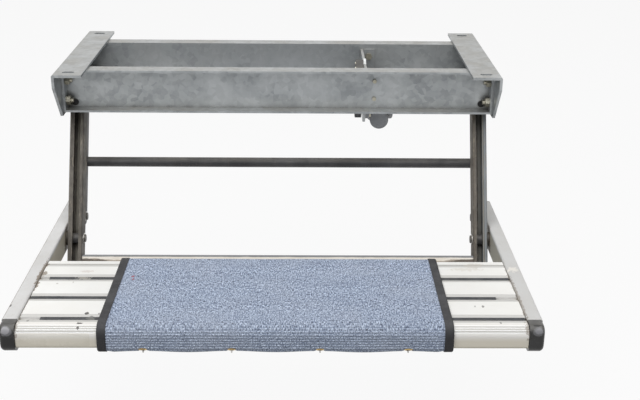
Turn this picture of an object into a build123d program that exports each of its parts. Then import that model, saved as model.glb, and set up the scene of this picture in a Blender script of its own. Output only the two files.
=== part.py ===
from build123d import *
import math
import os

os.makedirs("parts", exist_ok=True)

# Camper entry step, swing-out, driven by a 12 V gear motor, shown swung out.
# All sizes are millimetres. X runs across the step, -Y points away from the vehicle, +Z is up.
# The origin is the centre of the mounting plane, under the vehicle floor.

# Overall and side arms of the tread platform
step_width = 700.0
side_arm_width = 20.0
side_arm_height = 38.0
side_arm_wall = 2.0
side_arm_round = 2.5
side_arm_rise = 3.0
side_arm_tail = 22.0

# Swing linkage, a parallelogram of two equal links
link_length = 240.0
deployed_tilt = 26.0
swing_range = 61.0
pivot_drop = 45.0
pivot_spacing = 90.0
body_clearance = 0.3
fit_clearance = 0.05
open_pivot_clearance = 0.15

# Tread planks and their anti-slip inserts
tread_setback = 118.0
plank_pitch = 60.0
rear_plank_depth = 58.0
plank_height = 25.0
plank_wall = 2.0
plank_rib = 1.8
plank_gap = 0.3
plank_end_gap = 0.5
groove_width = 7.0
groove_depth = 5.0
bevel_width = 5.5
bevel_drop = 1.1
rear_edge_round = 3.0
rear_line_inset = 14.0
rear_line_width = 1.4
rear_line_depth = 0.8
nose_depth = 28.0
nose_height = 30.0
nose_round = 12.0
nose_foot_round = 4.0
nose_seat = 10.0
nose_line_angles = (34.0, 50.0, 66.0)
nose_line_radius = 0.6
strip_width = 6.4
strip_height = 4.7
strip_ridge = 0.8
ridge_turn = 45.0
strip_end_gap = 1.0
strip_short_ends = {"rear": (12.0, 0.0), "middle": (0.0, 28.0), "front": (26.0, 0.0)}

# Supports under the planks, with their screws and rivets
angle_wall = 3.0
angle_leg = 24.0
angle_drop = 8.0
angle_end_inset = 1.0
screw_shank_radius = 2.1
screw_head_radius = 4.5
screw_head_height = 2.6
screw_tail = 3.0
screw_inset = 12.0
rivet_radius = 1.6
rivet_head_radius = 2.4
rivet_head_height = 1.5
rivet_tail_radius = 1.9
rivet_pitch = 58.0

# End caps and rear plugs of the side arms
cap_length = 21.5
cap_overhang = 2.0
cap_foot = 1.2
cap_round = 12.0
cap_edge_round = 5.5
cap_spigot = 14.0
spigot_clearance = 0.25
plug_head = 4.0
plug_head_round = 1.5

# Mat over the tread
mat_width = 458.0
mat_shift = 3.5
mat_thickness = 4.0
mat_gap = 0.05
mat_front_flap = 9.0
mat_rear_flap = 16.0
binding_width = 12.0
binding_proud = 0.9
eyelet_count = 4
eyelet_pitch = 114.0
eyelet_radius = 6.0
eyelet_hole_radius = 3.2
eyelet_flange = 0.6
eyelet_wall = 0.2
eyelet_depth = 2.0
eyelet_angle = 56.0
spring_radius = 4.0
spring_wire_radius = 0.9
spring_body_length = 96.0
spring_drop = 36.0
spring_inset = 17.0
hook_round = 2.0
hook_depth = 1.2

# Swing arms, open channels that face the front
channel_width = 22.0
channel_depth = 28.0
channel_wall = 3.0
channel_outer_lip = 7.0
channel_inner_lip = 5.5
channel_round = 2.0
arm_side_gap = 4.0
swing_arm_head = 14.5
swing_arm_foot = 54.0
crossbar_start = 26.0
crossbar_height = 24.0
crossbar_depth = 20.0
crossbar_wall = 2.5
crossbar_inner_round = 0.8
crossbar_plate = 3.0
crossbar_screw_radius = 3.0
crossbar_screw_head = 5.0
crossbar_screw_head_height = 4.2

# Rear links with their tie
rear_link_width = 26.0
rear_link_thickness = 6.0
rear_link_gap = 6.0
tie_radius = 8.0
tie_wall = 2.0
tie_distance = 150.0

# Pins, shaft, bushes and rings
pin_radius = 6.0
pin_tail = 2.0
pin_inset = 0.2
shaft_radius = 8.0
shaft_tail = 5.0
shaft_chamfer = 0.8
cut_margin = 1.0
bush_wall = 2.0
collar_radius = 11.5
groove_deep = 0.7
ring_thickness = 1.2
ring_width = 3.0
ring_gap_angle = 70.0
washer_thickness = 1.5
washer_radius = 12.5

# Base frame
bracket_wall = 4.0
bracket_round = 2.8
bracket_drop = 75.0
bracket_half_length = 150.0
bracket_foot_half_length = 108.0
bracket_shoulder = 20.0
flange_width = 44.0
mount_hole_radius = 4.5
mount_slot_length = 18.0
mount_inset = 38.0
mount_half_spacing_y = 132.0
lightening_radius = 14.0
channel_face = 80.0
cross_depth = 25.0
cross_height = 66.0
cross_wall = 3.0
end_plate = 4.0
frame_bolt_radius = 4.0
frame_bolt_rows = (-22.0, -54.0)
frame_bolt_head_flats = 13.0
frame_bolt_head_height = 5.3
frame_bolt_tail = 4.0
frame_nut_height = 6.5
buffer_top = -50.0
buffer_foot = -69.0
buffer_stud_radius = 3.0
buffer_head = 2.0

# Drive: sector gear on the swing shaft, pinion on the gear motor
gear_module = 2.5
sector_teeth = 36
pinion_teeth = 12
pressure_angle = 25.0
addendum_share = 0.9
dedendum_share = 1.25
backlash = 0.3
flank_steps = 5
mesh_angle = -35.0
sector_margin = 12.0
sector_x = 120.0
sector_width = 10.0
sector_hub_radius = 15.0
sector_hub_length = 9.0
pinion_overlap = 1.0
output_shaft_radius = 6.0
output_shaft_depth = 14.0
output_shaft_tail = 3.0
motor_plate_gap = 4.0
motor_plate_wall = 4.0
motor_plate_top = -12.0
motor_plate_foot = -106.0
motor_plate_shoulder = -62.0
motor_plate_foot_half = 34.0
plate_hole_clearance = 1.0
plate_tab = 20.0
plate_screw_rows = (-24.0, -52.0)
plate_screw_radius = 3.0
plate_screw_head = 5.2
plate_screw_tail = 4.0
gearbox_radius = 30.0
gearbox_width = 46.0
gearbox_round = 3.0
worm_offset = 24.0
worm_case_radius = 15.0
worm_case_half_length = 32.0
motor_radius = 22.0
motor_length = 84.0
motor_flange = 5.0
motor_end_round = 4.0
gearbox_ear_radius = 8.0
gearbox_ear_distance = 36.0
gearbox_ear_thickness = 6.0
gearbox_ear_angles = (40.0, 140.0, 200.0)
gland_radius = 7.0
gland_nut_radius = 6.3
gland_round = 1.5
gland_length = 12.0
gland_bore_radius = 2.5
gland_thread_radius = 5.0
motor_cap_length = 8.0
set_screw_radius = 2.5

# Limit switch
switch_length = 20.0
switch_height = 10.0
switch_thickness = 6.4
switch_reach = 36.0
plunger_radius = 1.3
plunger_round = 0.8
plunger_proud = 2.5
plunger_depth = 3.0
plunger_travel = 1.5
plunger_gap = 0.5
switch_screw_radius = 1.2
switch_screw_spacing = 9.5
switch_screw_rise = 6.5
switch_border = 2.0

# Worked out from the sizes above
tilt = math.radians(deployed_tilt)
half_width = step_width / 2
mount_half_spacing_x = half_width - mount_inset
arm_inner = half_width - side_arm_width
front_pivot_y = -pivot_spacing / 2
rear_pivot_y = pivot_spacing / 2
pivot_z = -pivot_drop
lower_front_y = front_pivot_y - link_length * math.sin(tilt)
lower_rear_y = lower_front_y + pivot_spacing
lower_z = pivot_z - link_length * math.cos(tilt)
side_arm_top = lower_z + side_arm_height / 2
side_arm_foot = side_arm_top - side_arm_height
tread_top = side_arm_top - side_arm_rise
tread_rear = lower_front_y - tread_setback
strip_y = [tread_rear - rear_plank_depth - i * plank_pitch for i in range(3)]
nose_front = strip_y[2] - nose_depth
cap_front = nose_front - cap_overhang
side_arm_front = cap_front + cap_length
side_arm_rear = lower_rear_y + side_arm_tail
plank_half_length = arm_inner - plank_end_gap
channel_outer = arm_inner - arm_side_gap
channel_inner = channel_outer - channel_width
link_outer = arm_inner - rear_link_gap
link_inner = link_outer - rear_link_thickness
web_inner = arm_inner
web_outer = web_inner + bracket_wall

# Places of the screws under the planks
screw_x = arm_inner - (angle_leg + angle_wall) / 2
plank_fronts = [strip + groove_width / 2 + plank_wall for strip in strip_y]
plank_backs = [tread_rear - plank_wall] + [strip - groove_width / 2 - plank_wall for strip in strip_y[:2]]
plank_middles = [(front + back) / 2 for front, back in zip(plank_fronts, plank_backs)]
nose_screw_y = strip_y[2] - groove_width / 2 - nose_seat / 2
screw_y = [middle + step for middle in plank_middles for step in (-screw_inset, screw_inset)]
screw_y.append(nose_screw_y)

# Places of the drive
plate_inner_x = sector_x + sector_width + motor_plate_gap
plate_outer_x = plate_inner_x + motor_plate_wall
plate_screw_spots = [(plate_outer_x + plate_tab / 2, row) for row in plate_screw_rows]
gear_distance = gear_module * (sector_teeth + pinion_teeth) / 2
pinion_y = front_pivot_y + gear_distance * math.cos(math.radians(mesh_angle))
pinion_z = pivot_z + gear_distance * math.sin(math.radians(mesh_angle))
worm_z = pinion_z - worm_offset
gearbox_middle_x = plate_outer_x + gearbox_width / 2

# Directions of a swing arm at rest: along the arm, from its upper pivot down
arm_direction = (0.0, -math.sin(tilt), -math.cos(tilt))
sides = (("left", -1), ("right", 1))


def along_arm(pivot_y, distance, forward=0.0):
    """Return the (y, z) point at a distance down a link and forward of its centre line."""
    y = pivot_y - distance * math.sin(tilt) - forward * math.cos(tilt)
    z = pivot_z - distance * math.cos(tilt) + forward * math.sin(tilt)
    return (y, z)


def link_view(pivot_y, x):
    """Return a plane across X whose local x runs down a link from its upper pivot."""
    return Plane(origin=(x, pivot_y, pivot_z), x_dir=arm_direction, z_dir=(1, 0, 0))


def tread_view(x):
    """Return a plane across X whose local x is Y and whose local y is the height over the tread."""
    return Plane(origin=(x, 0, tread_top), x_dir=(0, 1, 0), z_dir=(1, 0, 0))


# The mouth of a retaining ring, as a wedge from its centre
mouth_depth = 2 * shaft_radius
mouth_half = mouth_depth * math.tan(math.radians(ring_gap_angle / 2))
ring_mouth = [(0, 0), (-mouth_half, -mouth_depth), (mouth_half, -mouth_depth)]


# Base frame

for name, side in sides:
    with BuildPart() as side_bracket:
        with BuildSketch(Plane.YZ.offset(side * web_inner)):
            with BuildLine():
                Polyline(
                    (-bracket_half_length, 0),
                    (-bracket_half_length, -bracket_shoulder),
                    (-bracket_foot_half_length, -bracket_drop),
                    (bracket_foot_half_length, -bracket_drop),
                    (bracket_half_length, -bracket_shoulder),
                    (bracket_half_length, 0),
                    close=True,
                )
            make_face()
        extrude(amount=side * bracket_wall)
        with BuildSketch(Plane.XY):
            with Locations((side * (web_outer - flange_width / 2), 0)):
                Rectangle(flange_width, 2 * bracket_half_length)
        extrude(amount=-bracket_wall)
        outer_edge = side_bracket.edges().filter_by(Axis.Y).group_by(Axis.Z)[-1]
        fillet(outer_edge.sort_by(Axis.X)[0 if side < 0 else -1], radius=bracket_round)
        with BuildSketch(Plane.XY):
            with GridLocations(0, 2 * mount_half_spacing_y, 1, 2):
                with Locations((side * mount_half_spacing_x, 0)):
                    SlotOverall(mount_slot_length, 2 * mount_hole_radius)
        extrude(amount=-bracket_wall, mode=Mode.SUBTRACT)
        with BuildSketch(Plane.YZ.offset(side * web_inner)):
            with Locations((front_pivot_y, pivot_z)):
                Circle(shaft_radius + bush_wall + 2 * fit_clearance)
            with Locations((rear_pivot_y, pivot_z)):
                Circle(pin_radius + fit_clearance)
            with Locations((0, -bracket_drop / 2)):
                Circle(lightening_radius)
            for row in frame_bolt_rows:
                with Locations(
                    (-channel_face - cross_depth / 2, row),
                    (channel_face + cross_depth / 2, row),
                ):
                    Circle(frame_bolt_radius + fit_clearance)
        extrude(amount=side * bracket_wall, mode=Mode.SUBTRACT)
    side_bracket.part.label = f"side_bracket_{name}"
    export_step(side_bracket.part, f"parts/side_bracket_{name}.step")

for name, end in (("front", -1), ("rear", 1)):
    face_y = end * channel_face
    lip_y = end * (channel_face + cross_depth)
    top_z = -bracket_wall
    foot_z = top_z - cross_height
    with BuildPart() as cross_channel:
        with BuildSketch(Plane.YZ.offset(-web_inner)):
            with BuildLine():
                Polyline(
                    (face_y, top_z),
                    (lip_y, top_z),
                    (lip_y, top_z - cross_wall),
                    (face_y + end * cross_wall, top_z - cross_wall),
                    (face_y + end * cross_wall, foot_z + cross_wall),
                    (lip_y, foot_z + cross_wall),
                    (lip_y, foot_z),
                    (face_y, foot_z),
                    close=True,
                )
            make_face()
        extrude(amount=2 * web_inner)
        for _, side in sides:
            with BuildSketch(Plane.YZ.offset(side * web_inner)):
                with Locations((face_y + end * cross_depth / 2, (top_z + foot_z) / 2)):
                    Rectangle(cross_depth, cross_height)
            extrude(amount=-side * end_plate)
            with BuildSketch(Plane.YZ.offset(side * web_inner)):
                for row in frame_bolt_rows:
                    with Locations((face_y + end * cross_depth / 2, row)):
                        Circle(frame_bolt_radius + fit_clearance)
            extrude(amount=-side * end_plate, mode=Mode.SUBTRACT)
        with BuildSketch(Plane.XZ.offset(-face_y)):
            buffer_middle = (buffer_top + buffer_foot) / 2
            with Locations(
                (-channel_outer + channel_width / 2, buffer_middle),
                (channel_outer - channel_width / 2, buffer_middle),
            ):
                Circle(buffer_stud_radius + fit_clearance)
        extrude(amount=-end * cross_wall, mode=Mode.SUBTRACT)
        with BuildSketch(Plane.XZ.offset(-face_y)):
            with Locations(*plate_screw_spots):
                Circle(plate_screw_radius + fit_clearance)
        extrude(amount=-end * cross_wall, mode=Mode.SUBTRACT)
    cross_channel.part.label = f"{name}_cross_channel"
    export_step(cross_channel.part, f"parts/{name}_cross_channel.step")

with BuildPart() as frame_bolts:
    for _, side in sides:
        spots = [
            (end * (channel_face + cross_depth / 2), row) for end in (-1, 1) for row in frame_bolt_rows
        ]
        with BuildSketch(Plane.YZ.offset(side * web_outer)):
            with Locations(*spots):
                RegularPolygon(frame_bolt_head_flats / 2, 6, major_radius=False)
        extrude(amount=side * frame_bolt_head_height)
        with BuildSketch(Plane.YZ.offset(side * web_outer)):
            with Locations(*spots):
                Circle(frame_bolt_radius)
        extrude(amount=-side * (bracket_wall + end_plate + frame_nut_height + frame_bolt_tail))
frame_bolts.part.label = "frame_bolts"
export_step(frame_bolts.part, "parts/frame_bolts.step")

with BuildPart() as frame_nuts:
    for _, side in sides:
        spots = [
            (end * (channel_face + cross_depth / 2), row) for end in (-1, 1) for row in frame_bolt_rows
        ]
        with BuildSketch(Plane.YZ.offset(side * (web_inner - end_plate))):
            with Locations(*spots):
                RegularPolygon(frame_bolt_head_flats / 2, 6, major_radius=False)
                Circle(frame_bolt_radius + fit_clearance, mode=Mode.SUBTRACT)
        extrude(amount=-side * frame_nut_height)
frame_nuts.part.label = "frame_nuts"
export_step(frame_nuts.part, "parts/frame_nuts.step")

with BuildPart() as shaft_bushes:
    for _, side in sides:
        with BuildSketch(Plane.YZ.offset(side * (channel_outer + body_clearance))):
            with Locations((front_pivot_y, pivot_z)):
                Circle(collar_radius)
        extrude(amount=side * (arm_side_gap - body_clearance))
        with BuildSketch(Plane.YZ.offset(side * web_inner)):
            with Locations((front_pivot_y, pivot_z)):
                Circle(shaft_radius + bush_wall + fit_clearance)
        extrude(amount=side * bracket_wall)
        with BuildSketch(Plane.YZ.offset(side * channel_outer)):
            with Locations((front_pivot_y, pivot_z)):
                Circle(shaft_radius + fit_clearance)
        extrude(amount=side * (arm_side_gap + bracket_wall), mode=Mode.SUBTRACT)
shaft_bushes.part.label = "shaft_bushes"
export_step(shaft_bushes.part, "parts/shaft_bushes.step")


def pin_pairs(places, outer_x):
    """Return pins on both sides. Each place is y, z and the x where its ring groove starts."""
    with BuildPart() as pins:
        for y, z, ring_x in places:
            end_x = ring_x - ring_thickness - pin_tail
            for _, side in sides:
                with BuildSketch(Plane.YZ.offset(side * end_x)):
                    with Locations((y, z)):
                        Circle(pin_radius)
                extrude(amount=side * (outer_x - end_x))
                with BuildSketch(Plane.YZ.offset(side * ring_x)):
                    with Locations((y, z)):
                        Circle(pin_radius + cut_margin)
                        Circle(pin_radius - groove_deep, mode=Mode.SUBTRACT)
                extrude(amount=-side * ring_thickness, mode=Mode.SUBTRACT)
    return pins


def bush_pair(y, z, inner_x, outer_x, collar_x, bore):
    """Return a left and a right bush, with a sleeve from inner_x to outer_x and a collar to collar_x."""
    with BuildPart() as bushes:
        for _, side in sides:
            with BuildSketch(Plane.YZ.offset(side * inner_x)):
                with Locations((y, z)):
                    Circle(pin_radius + bush_wall)
            extrude(amount=side * (outer_x - inner_x))
            with BuildSketch(Plane.YZ.offset(side * outer_x)):
                with Locations((y, z)):
                    Circle(collar_radius)
            extrude(amount=side * (collar_x - outer_x))
            with BuildSketch(Plane.YZ.offset(side * inner_x)):
                with Locations((y, z)):
                    Circle(bore)
            extrude(amount=side * (collar_x - inner_x), mode=Mode.SUBTRACT)
    return bushes


def ring_pairs(places):
    """Return the retaining rings of pins at the same places as in pin_pairs."""
    groove_radius = pin_radius - groove_deep
    with BuildPart() as rings:
        for y, z, ring_x in places:
            for _, side in sides:
                with BuildSketch(Plane.YZ.offset(side * (ring_x - fit_clearance))):
                    with Locations((y, z)):
                        Circle(groove_radius + ring_width)
                        Circle(groove_radius + fit_clearance, mode=Mode.SUBTRACT)
                        Polygon(*ring_mouth, align=None, mode=Mode.SUBTRACT)
                extrude(amount=-side * (ring_thickness - 2 * fit_clearance))
    return rings


# Pins of the rear links in the brackets
frame_ring_x = link_inner - body_clearance
frame_places = [(rear_pivot_y, pivot_z, frame_ring_x)]
frame_pins = pin_pairs(frame_places, web_outer)
frame_pins.part.label = "frame_pins"
export_step(frame_pins.part, "parts/frame_pins.step")

frame_pin_rings = ring_pairs(frame_places)
frame_pin_rings.part.label = "frame_pin_rings"
export_step(frame_pin_rings.part, "parts/frame_pin_rings.step")

# Rubber buffers that stop the swing at both ends
buffer_gap = channel_depth / 2 + body_clearance
link_gap = rear_link_width / 2 + body_clearance
stowed = math.radians(swing_range - deployed_tilt)


def front_stop_y(z):
    """Return the y of the front face of a swing arm, with its clearance, at a height, swung out."""
    return front_pivot_y + (z - pivot_z) * math.tan(tilt) - buffer_gap / math.cos(tilt)


def rear_stop_y(z):
    """Return the y of the rear edge of a rear link, with its clearance, at a height, stowed."""
    return rear_pivot_y - (z - pivot_z) * math.tan(stowed) + link_gap / math.cos(stowed)


with BuildPart() as stop_buffers:
    for end, stop_y in ((-1, front_stop_y), (1, rear_stop_y)):
        for _, side in sides:
            with BuildSketch(Plane.YZ.offset(side * channel_inner)):
                with BuildLine():
                    Polyline(
                        (end * channel_face, buffer_top),
                        (stop_y(buffer_top), buffer_top),
                        (stop_y(buffer_foot), buffer_foot),
                        (end * channel_face, buffer_foot),
                        close=True,
                    )
                make_face()
            extrude(amount=side * channel_width)
            stud_spot = (side * (channel_inner + channel_outer) / 2, (buffer_top + buffer_foot) / 2)
            with BuildSketch(Plane.XZ.offset(-end * channel_face)):
                with Locations(stud_spot):
                    Circle(buffer_stud_radius)
            extrude(amount=-end * (cross_wall + buffer_head))
            with BuildSketch(Plane.XZ.offset(-end * (channel_face + cross_wall))):
                with Locations(stud_spot):
                    Circle(buffer_stud_radius + buffer_head)
            extrude(amount=-end * buffer_head)
stop_buffers.part.label = "stop_buffers"
export_step(stop_buffers.part, "parts/stop_buffers.step")


# Swing frame: shaft, swing arms, crossbar and sector gear

shaft_ring_x = web_outer + 2 * body_clearance + washer_thickness
shaft_end_x = shaft_ring_x + ring_thickness + shaft_tail

with BuildPart() as swing_shaft:
    with BuildSketch(Plane.YZ.offset(-shaft_end_x)):
        with Locations((front_pivot_y, pivot_z)):
            Circle(shaft_radius)
    extrude(amount=2 * shaft_end_x)
    chamfer(swing_shaft.edges().filter_by(GeomType.CIRCLE), length=shaft_chamfer)
    for _, side in sides:
        with BuildSketch(Plane.YZ.offset(side * shaft_ring_x)):
            with Locations((front_pivot_y, pivot_z)):
                Circle(shaft_radius + cut_margin)
                Circle(shaft_radius - groove_deep, mode=Mode.SUBTRACT)
        extrude(amount=side * ring_thickness, mode=Mode.SUBTRACT)
swing_shaft.part.label = "swing_shaft"
export_step(swing_shaft.part, "parts/swing_shaft.step")

with BuildPart() as shaft_washers:
    for _, side in sides:
        with BuildSketch(Plane.YZ.offset(side * (web_outer + body_clearance))):
            with Locations((front_pivot_y, pivot_z)):
                Circle(washer_radius)
                Circle(shaft_radius + fit_clearance, mode=Mode.SUBTRACT)
        extrude(amount=side * washer_thickness)
shaft_washers.part.label = "shaft_washers"
export_step(shaft_washers.part, "parts/shaft_washers.step")

with BuildPart() as shaft_rings:
    for _, side in sides:
        with BuildSketch(Plane.YZ.offset(side * (shaft_ring_x + fit_clearance))):
            with Locations((front_pivot_y, pivot_z)):
                Circle(shaft_radius - groove_deep + ring_width)
                Circle(shaft_radius - groove_deep + fit_clearance, mode=Mode.SUBTRACT)
                Polygon(*ring_mouth, align=None, mode=Mode.SUBTRACT)
        extrude(amount=side * (ring_thickness - 2 * fit_clearance))
shaft_rings.part.label = "shaft_rings"
export_step(shaft_rings.part, "parts/shaft_rings.step")

crossbar_middle = link_length + crossbar_start + crossbar_height / 2
swing_arm_length = link_length + swing_arm_foot
arm_end_plane = Plane(
    origin=(0, *along_arm(front_pivot_y, -swing_arm_head)),
    x_dir=(1, 0, 0),
    z_dir=arm_direction,
)

for name, side in sides:
    middle_x = side * (channel_outer - channel_width / 2)
    slot_width = channel_width - channel_outer_lip - channel_inner_lip
    slot_x = side * (channel_inner + channel_inner_lip + slot_width / 2)
    with BuildPart() as swing_arm:
        with BuildSketch(arm_end_plane):
            with Locations((middle_x, 0)):
                RectangleRounded(channel_width, channel_depth, channel_round)
                RectangleRounded(
                    channel_width - 2 * channel_wall,
                    channel_depth - 2 * channel_wall,
                    channel_round / 2,
                    mode=Mode.SUBTRACT,
                )
            with Locations((slot_x, channel_depth / 2 - channel_wall / 2)):
                Rectangle(slot_width, 2 * channel_wall, mode=Mode.SUBTRACT)
        extrude(amount=swing_arm_head + swing_arm_length)
        with BuildSketch(link_view(front_pivot_y, middle_x)):
            Circle(swing_arm_head)
            with Locations((swing_arm_length / 2, 0)):
                Rectangle(swing_arm_length, channel_depth + 1)
        extrude(amount=channel_width, both=True, mode=Mode.INTERSECT)
        with BuildSketch(link_view(front_pivot_y, middle_x)):
            Circle(shaft_radius + fit_clearance)
            with Locations((link_length, 0)):
                Circle(pin_radius + bush_wall + fit_clearance)
        extrude(amount=channel_width, both=True, mode=Mode.SUBTRACT)
        with BuildSketch(link_view(front_pivot_y, side * channel_inner)):
            with Locations((crossbar_middle, 0)):
                Circle(crossbar_screw_radius + fit_clearance)
        extrude(amount=side * channel_wall, mode=Mode.SUBTRACT)
    swing_arm.part.label = f"swing_arm_{name}"
    export_step(swing_arm.part, f"parts/swing_arm_{name}.step")

with BuildPart() as crossbar:
    with BuildSketch(link_view(front_pivot_y, -channel_inner)):
        with Locations((crossbar_middle, 0)):
            RectangleRounded(crossbar_height, crossbar_depth, crossbar_wall)
            RectangleRounded(
                crossbar_height - 2 * crossbar_wall,
                crossbar_depth - 2 * crossbar_wall,
                crossbar_inner_round,
                mode=Mode.SUBTRACT,
            )
    extrude(amount=2 * channel_inner)
    for _, side in sides:
        with BuildSketch(link_view(front_pivot_y, side * channel_inner)):
            with Locations((crossbar_middle, 0)):
                RectangleRounded(crossbar_height, crossbar_depth, crossbar_wall)
        extrude(amount=-side * crossbar_plate)
        with BuildSketch(link_view(front_pivot_y, side * channel_inner)):
            with Locations((crossbar_middle, 0)):
                Circle(crossbar_screw_radius + fit_clearance)
        extrude(amount=-side * crossbar_plate, mode=Mode.SUBTRACT)
crossbar.part.label = "crossbar"
export_step(crossbar.part, "parts/crossbar.step")

with BuildPart() as crossbar_screws:
    for _, side in sides:
        with BuildSketch(link_view(front_pivot_y, side * (channel_inner + channel_wall))):
            with Locations((crossbar_middle, 0)):
                RegularPolygon(crossbar_screw_head, 6, major_radius=False)
        extrude(amount=side * crossbar_screw_head_height)
        with BuildSketch(link_view(front_pivot_y, side * (channel_inner + channel_wall))):
            with Locations((crossbar_middle, 0)):
                Circle(crossbar_screw_radius)
        extrude(amount=-side * (channel_wall + crossbar_plate + 2 * crossbar_screw_radius))
crossbar_screws.part.label = "crossbar_screws"
export_step(crossbar_screws.part, "parts/crossbar_screws.step")

with BuildPart() as hub_collars:
    for _, side in sides:
        with BuildSketch(Plane.YZ.offset(side * (channel_inner + channel_wall))):
            with Locations((front_pivot_y, pivot_z)):
                Circle(channel_depth / 2 - channel_wall - channel_round / 2)
                Circle(shaft_radius + fit_clearance, mode=Mode.SUBTRACT)
        extrude(amount=side * (channel_width - 2 * channel_wall))
        slot_x = side * (channel_inner + (channel_width - channel_outer_lip + channel_inner_lip) / 2)
        screw_plane = Plane(
            origin=(slot_x, front_pivot_y, pivot_z),
            x_dir=(1, 0, 0),
            z_dir=(0, -math.cos(tilt), math.sin(tilt)),
        )
        with BuildSketch(screw_plane):
            Circle(set_screw_radius + fit_clearance)
        extrude(amount=channel_depth / 2, mode=Mode.SUBTRACT)
hub_collars.part.label = "hub_collars"
export_step(hub_collars.part, "parts/hub_collars.step")

front_platform_bushes = bush_pair(
    lower_front_y,
    lower_z,
    channel_inner,
    channel_outer,
    arm_inner - body_clearance,
    pin_radius + fit_clearance,
)
front_platform_bushes.part.label = "front_platform_bushes"
export_step(front_platform_bushes.part, "parts/front_platform_bushes.step")


def tooth_points(teeth, middle):
    """Return the outline of one involute tooth, in degrees about the gear's own centre."""
    pitch = gear_module * teeth / 2
    base = pitch * math.cos(math.radians(pressure_angle))
    tip = pitch + addendum_share * gear_module
    root = pitch - dedendum_share * gear_module
    spread = math.tan(math.radians(pressure_angle)) - math.radians(pressure_angle)
    half = math.pi / 2 / teeth - backlash / 4 / pitch + spread
    start = max(base, root)
    flank = [(root - 1, half)]
    for step in range(flank_steps + 1):
        radius = start + (tip - start) * step / flank_steps
        roll = math.acos(min(1.0, base / radius))
        flank.append((radius, half - (math.tan(roll) - roll)))
    flank[0] = (root - 1, flank[1][1])
    outline = [(radius, -angle) for radius, angle in flank]
    outline += [(radius, angle) for radius, angle in reversed(flank)]
    turn = math.radians(middle)
    return [(radius * math.cos(angle + turn), radius * math.sin(angle + turn)) for radius, angle in outline]


sector_root = gear_module * (sector_teeth / 2 - dedendum_share)
tooth_step = 360 / sector_teeth
first_tooth = -math.ceil((swing_range + sector_margin / 2) / tooth_step)
sector_start = mesh_angle - swing_range - sector_margin
sector_sweep = swing_range + 2 * sector_margin

with BuildPart() as sector_gear:
    with BuildSketch(Plane.YZ.offset(sector_x - sector_hub_length)):
        with Locations((front_pivot_y, pivot_z)):
            Circle(sector_hub_radius)
            Circle(shaft_radius + fit_clearance, mode=Mode.SUBTRACT)
    extrude(amount=sector_hub_length + sector_width)
    with BuildSketch(Plane.XZ.offset(-front_pivot_y)):
        with Locations((sector_x - sector_hub_length / 2, pivot_z)):
            Circle(set_screw_radius + fit_clearance)
    extrude(amount=sector_hub_radius + cut_margin, mode=Mode.SUBTRACT)
    with BuildSketch(Plane.YZ.offset(sector_x)):
        with BuildLine():
            rim = CenterArc((front_pivot_y, pivot_z), sector_root, sector_start, sector_sweep)
            Line((front_pivot_y, pivot_z), rim @ 0)
            Line((front_pivot_y, pivot_z), rim @ 1)
        make_face()
        for tooth in range(first_tooth, 2):
            with BuildLine():
                points = tooth_points(sector_teeth, mesh_angle + tooth * tooth_step)
                Polyline(*[(front_pivot_y + y, pivot_z + z) for y, z in points], close=True)
            make_face()
        with Locations((front_pivot_y, pivot_z)):
            Circle(sector_hub_radius - cut_margin, mode=Mode.SUBTRACT)
    extrude(amount=sector_width)
sector_gear.part.label = "sector_gear"
export_step(sector_gear.part, "parts/sector_gear.step")

with BuildPart() as set_screws:
    for _, side in sides:
        slot_x = side * (channel_inner + (channel_width - channel_outer_lip + channel_inner_lip) / 2)
        screw_plane = Plane(
            origin=(slot_x, front_pivot_y, pivot_z),
            x_dir=(1, 0, 0),
            z_dir=(0, -math.cos(tilt), math.sin(tilt)),
        )
        with BuildSketch(screw_plane.offset(shaft_radius + fit_clearance)):
            Circle(set_screw_radius)
        extrude(amount=channel_depth / 2 - shaft_radius)
    with BuildSketch(Plane.XZ.offset(-front_pivot_y + shaft_radius + fit_clearance)):
        with Locations((sector_x - sector_hub_length / 2, pivot_z)):
            Circle(set_screw_radius)
    extrude(amount=sector_hub_radius - shaft_radius)
set_screws.part.label = "set_screws"
export_step(set_screws.part, "parts/set_screws.step")


# Rear links and their tie

for name, side in sides:
    with BuildPart() as rear_link:
        with BuildSketch(link_view(rear_pivot_y, side * link_inner)):
            with Locations((link_length / 2, 0)):
                SlotCenterToCenter(link_length, rear_link_width)
            Circle(pin_radius + bush_wall + fit_clearance, mode=Mode.SUBTRACT)
            with Locations((link_length, 0)):
                Circle(pin_radius + bush_wall + fit_clearance, mode=Mode.SUBTRACT)
        extrude(amount=side * rear_link_thickness)
    rear_link.part.label = f"rear_link_{name}"
    export_step(rear_link.part, f"parts/rear_link_{name}.step")

with BuildPart() as rear_tie:
    with BuildSketch(link_view(rear_pivot_y, -link_inner)):
        with Locations((tie_distance, 0)):
            Circle(tie_radius)
            Circle(tie_radius - tie_wall, mode=Mode.SUBTRACT)
    extrude(amount=2 * link_inner)
rear_tie.part.label = "rear_tie"
export_step(rear_tie.part, "parts/rear_tie.step")

rear_frame_bushes = bush_pair(
    rear_pivot_y, pivot_z, link_inner, link_outer, web_inner - body_clearance, pin_radius + fit_clearance
)
rear_frame_bushes.part.label = "rear_frame_bushes"
export_step(rear_frame_bushes.part, "parts/rear_frame_bushes.step")

rear_platform_bushes = bush_pair(
    lower_rear_y,
    lower_z,
    link_inner,
    link_outer,
    arm_inner - body_clearance,
    pin_radius + open_pivot_clearance,
)
rear_platform_bushes.part.label = "rear_platform_bushes"
export_step(rear_platform_bushes.part, "parts/rear_platform_bushes.step")


# Tread platform: side arms with their pins, caps and plugs

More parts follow.
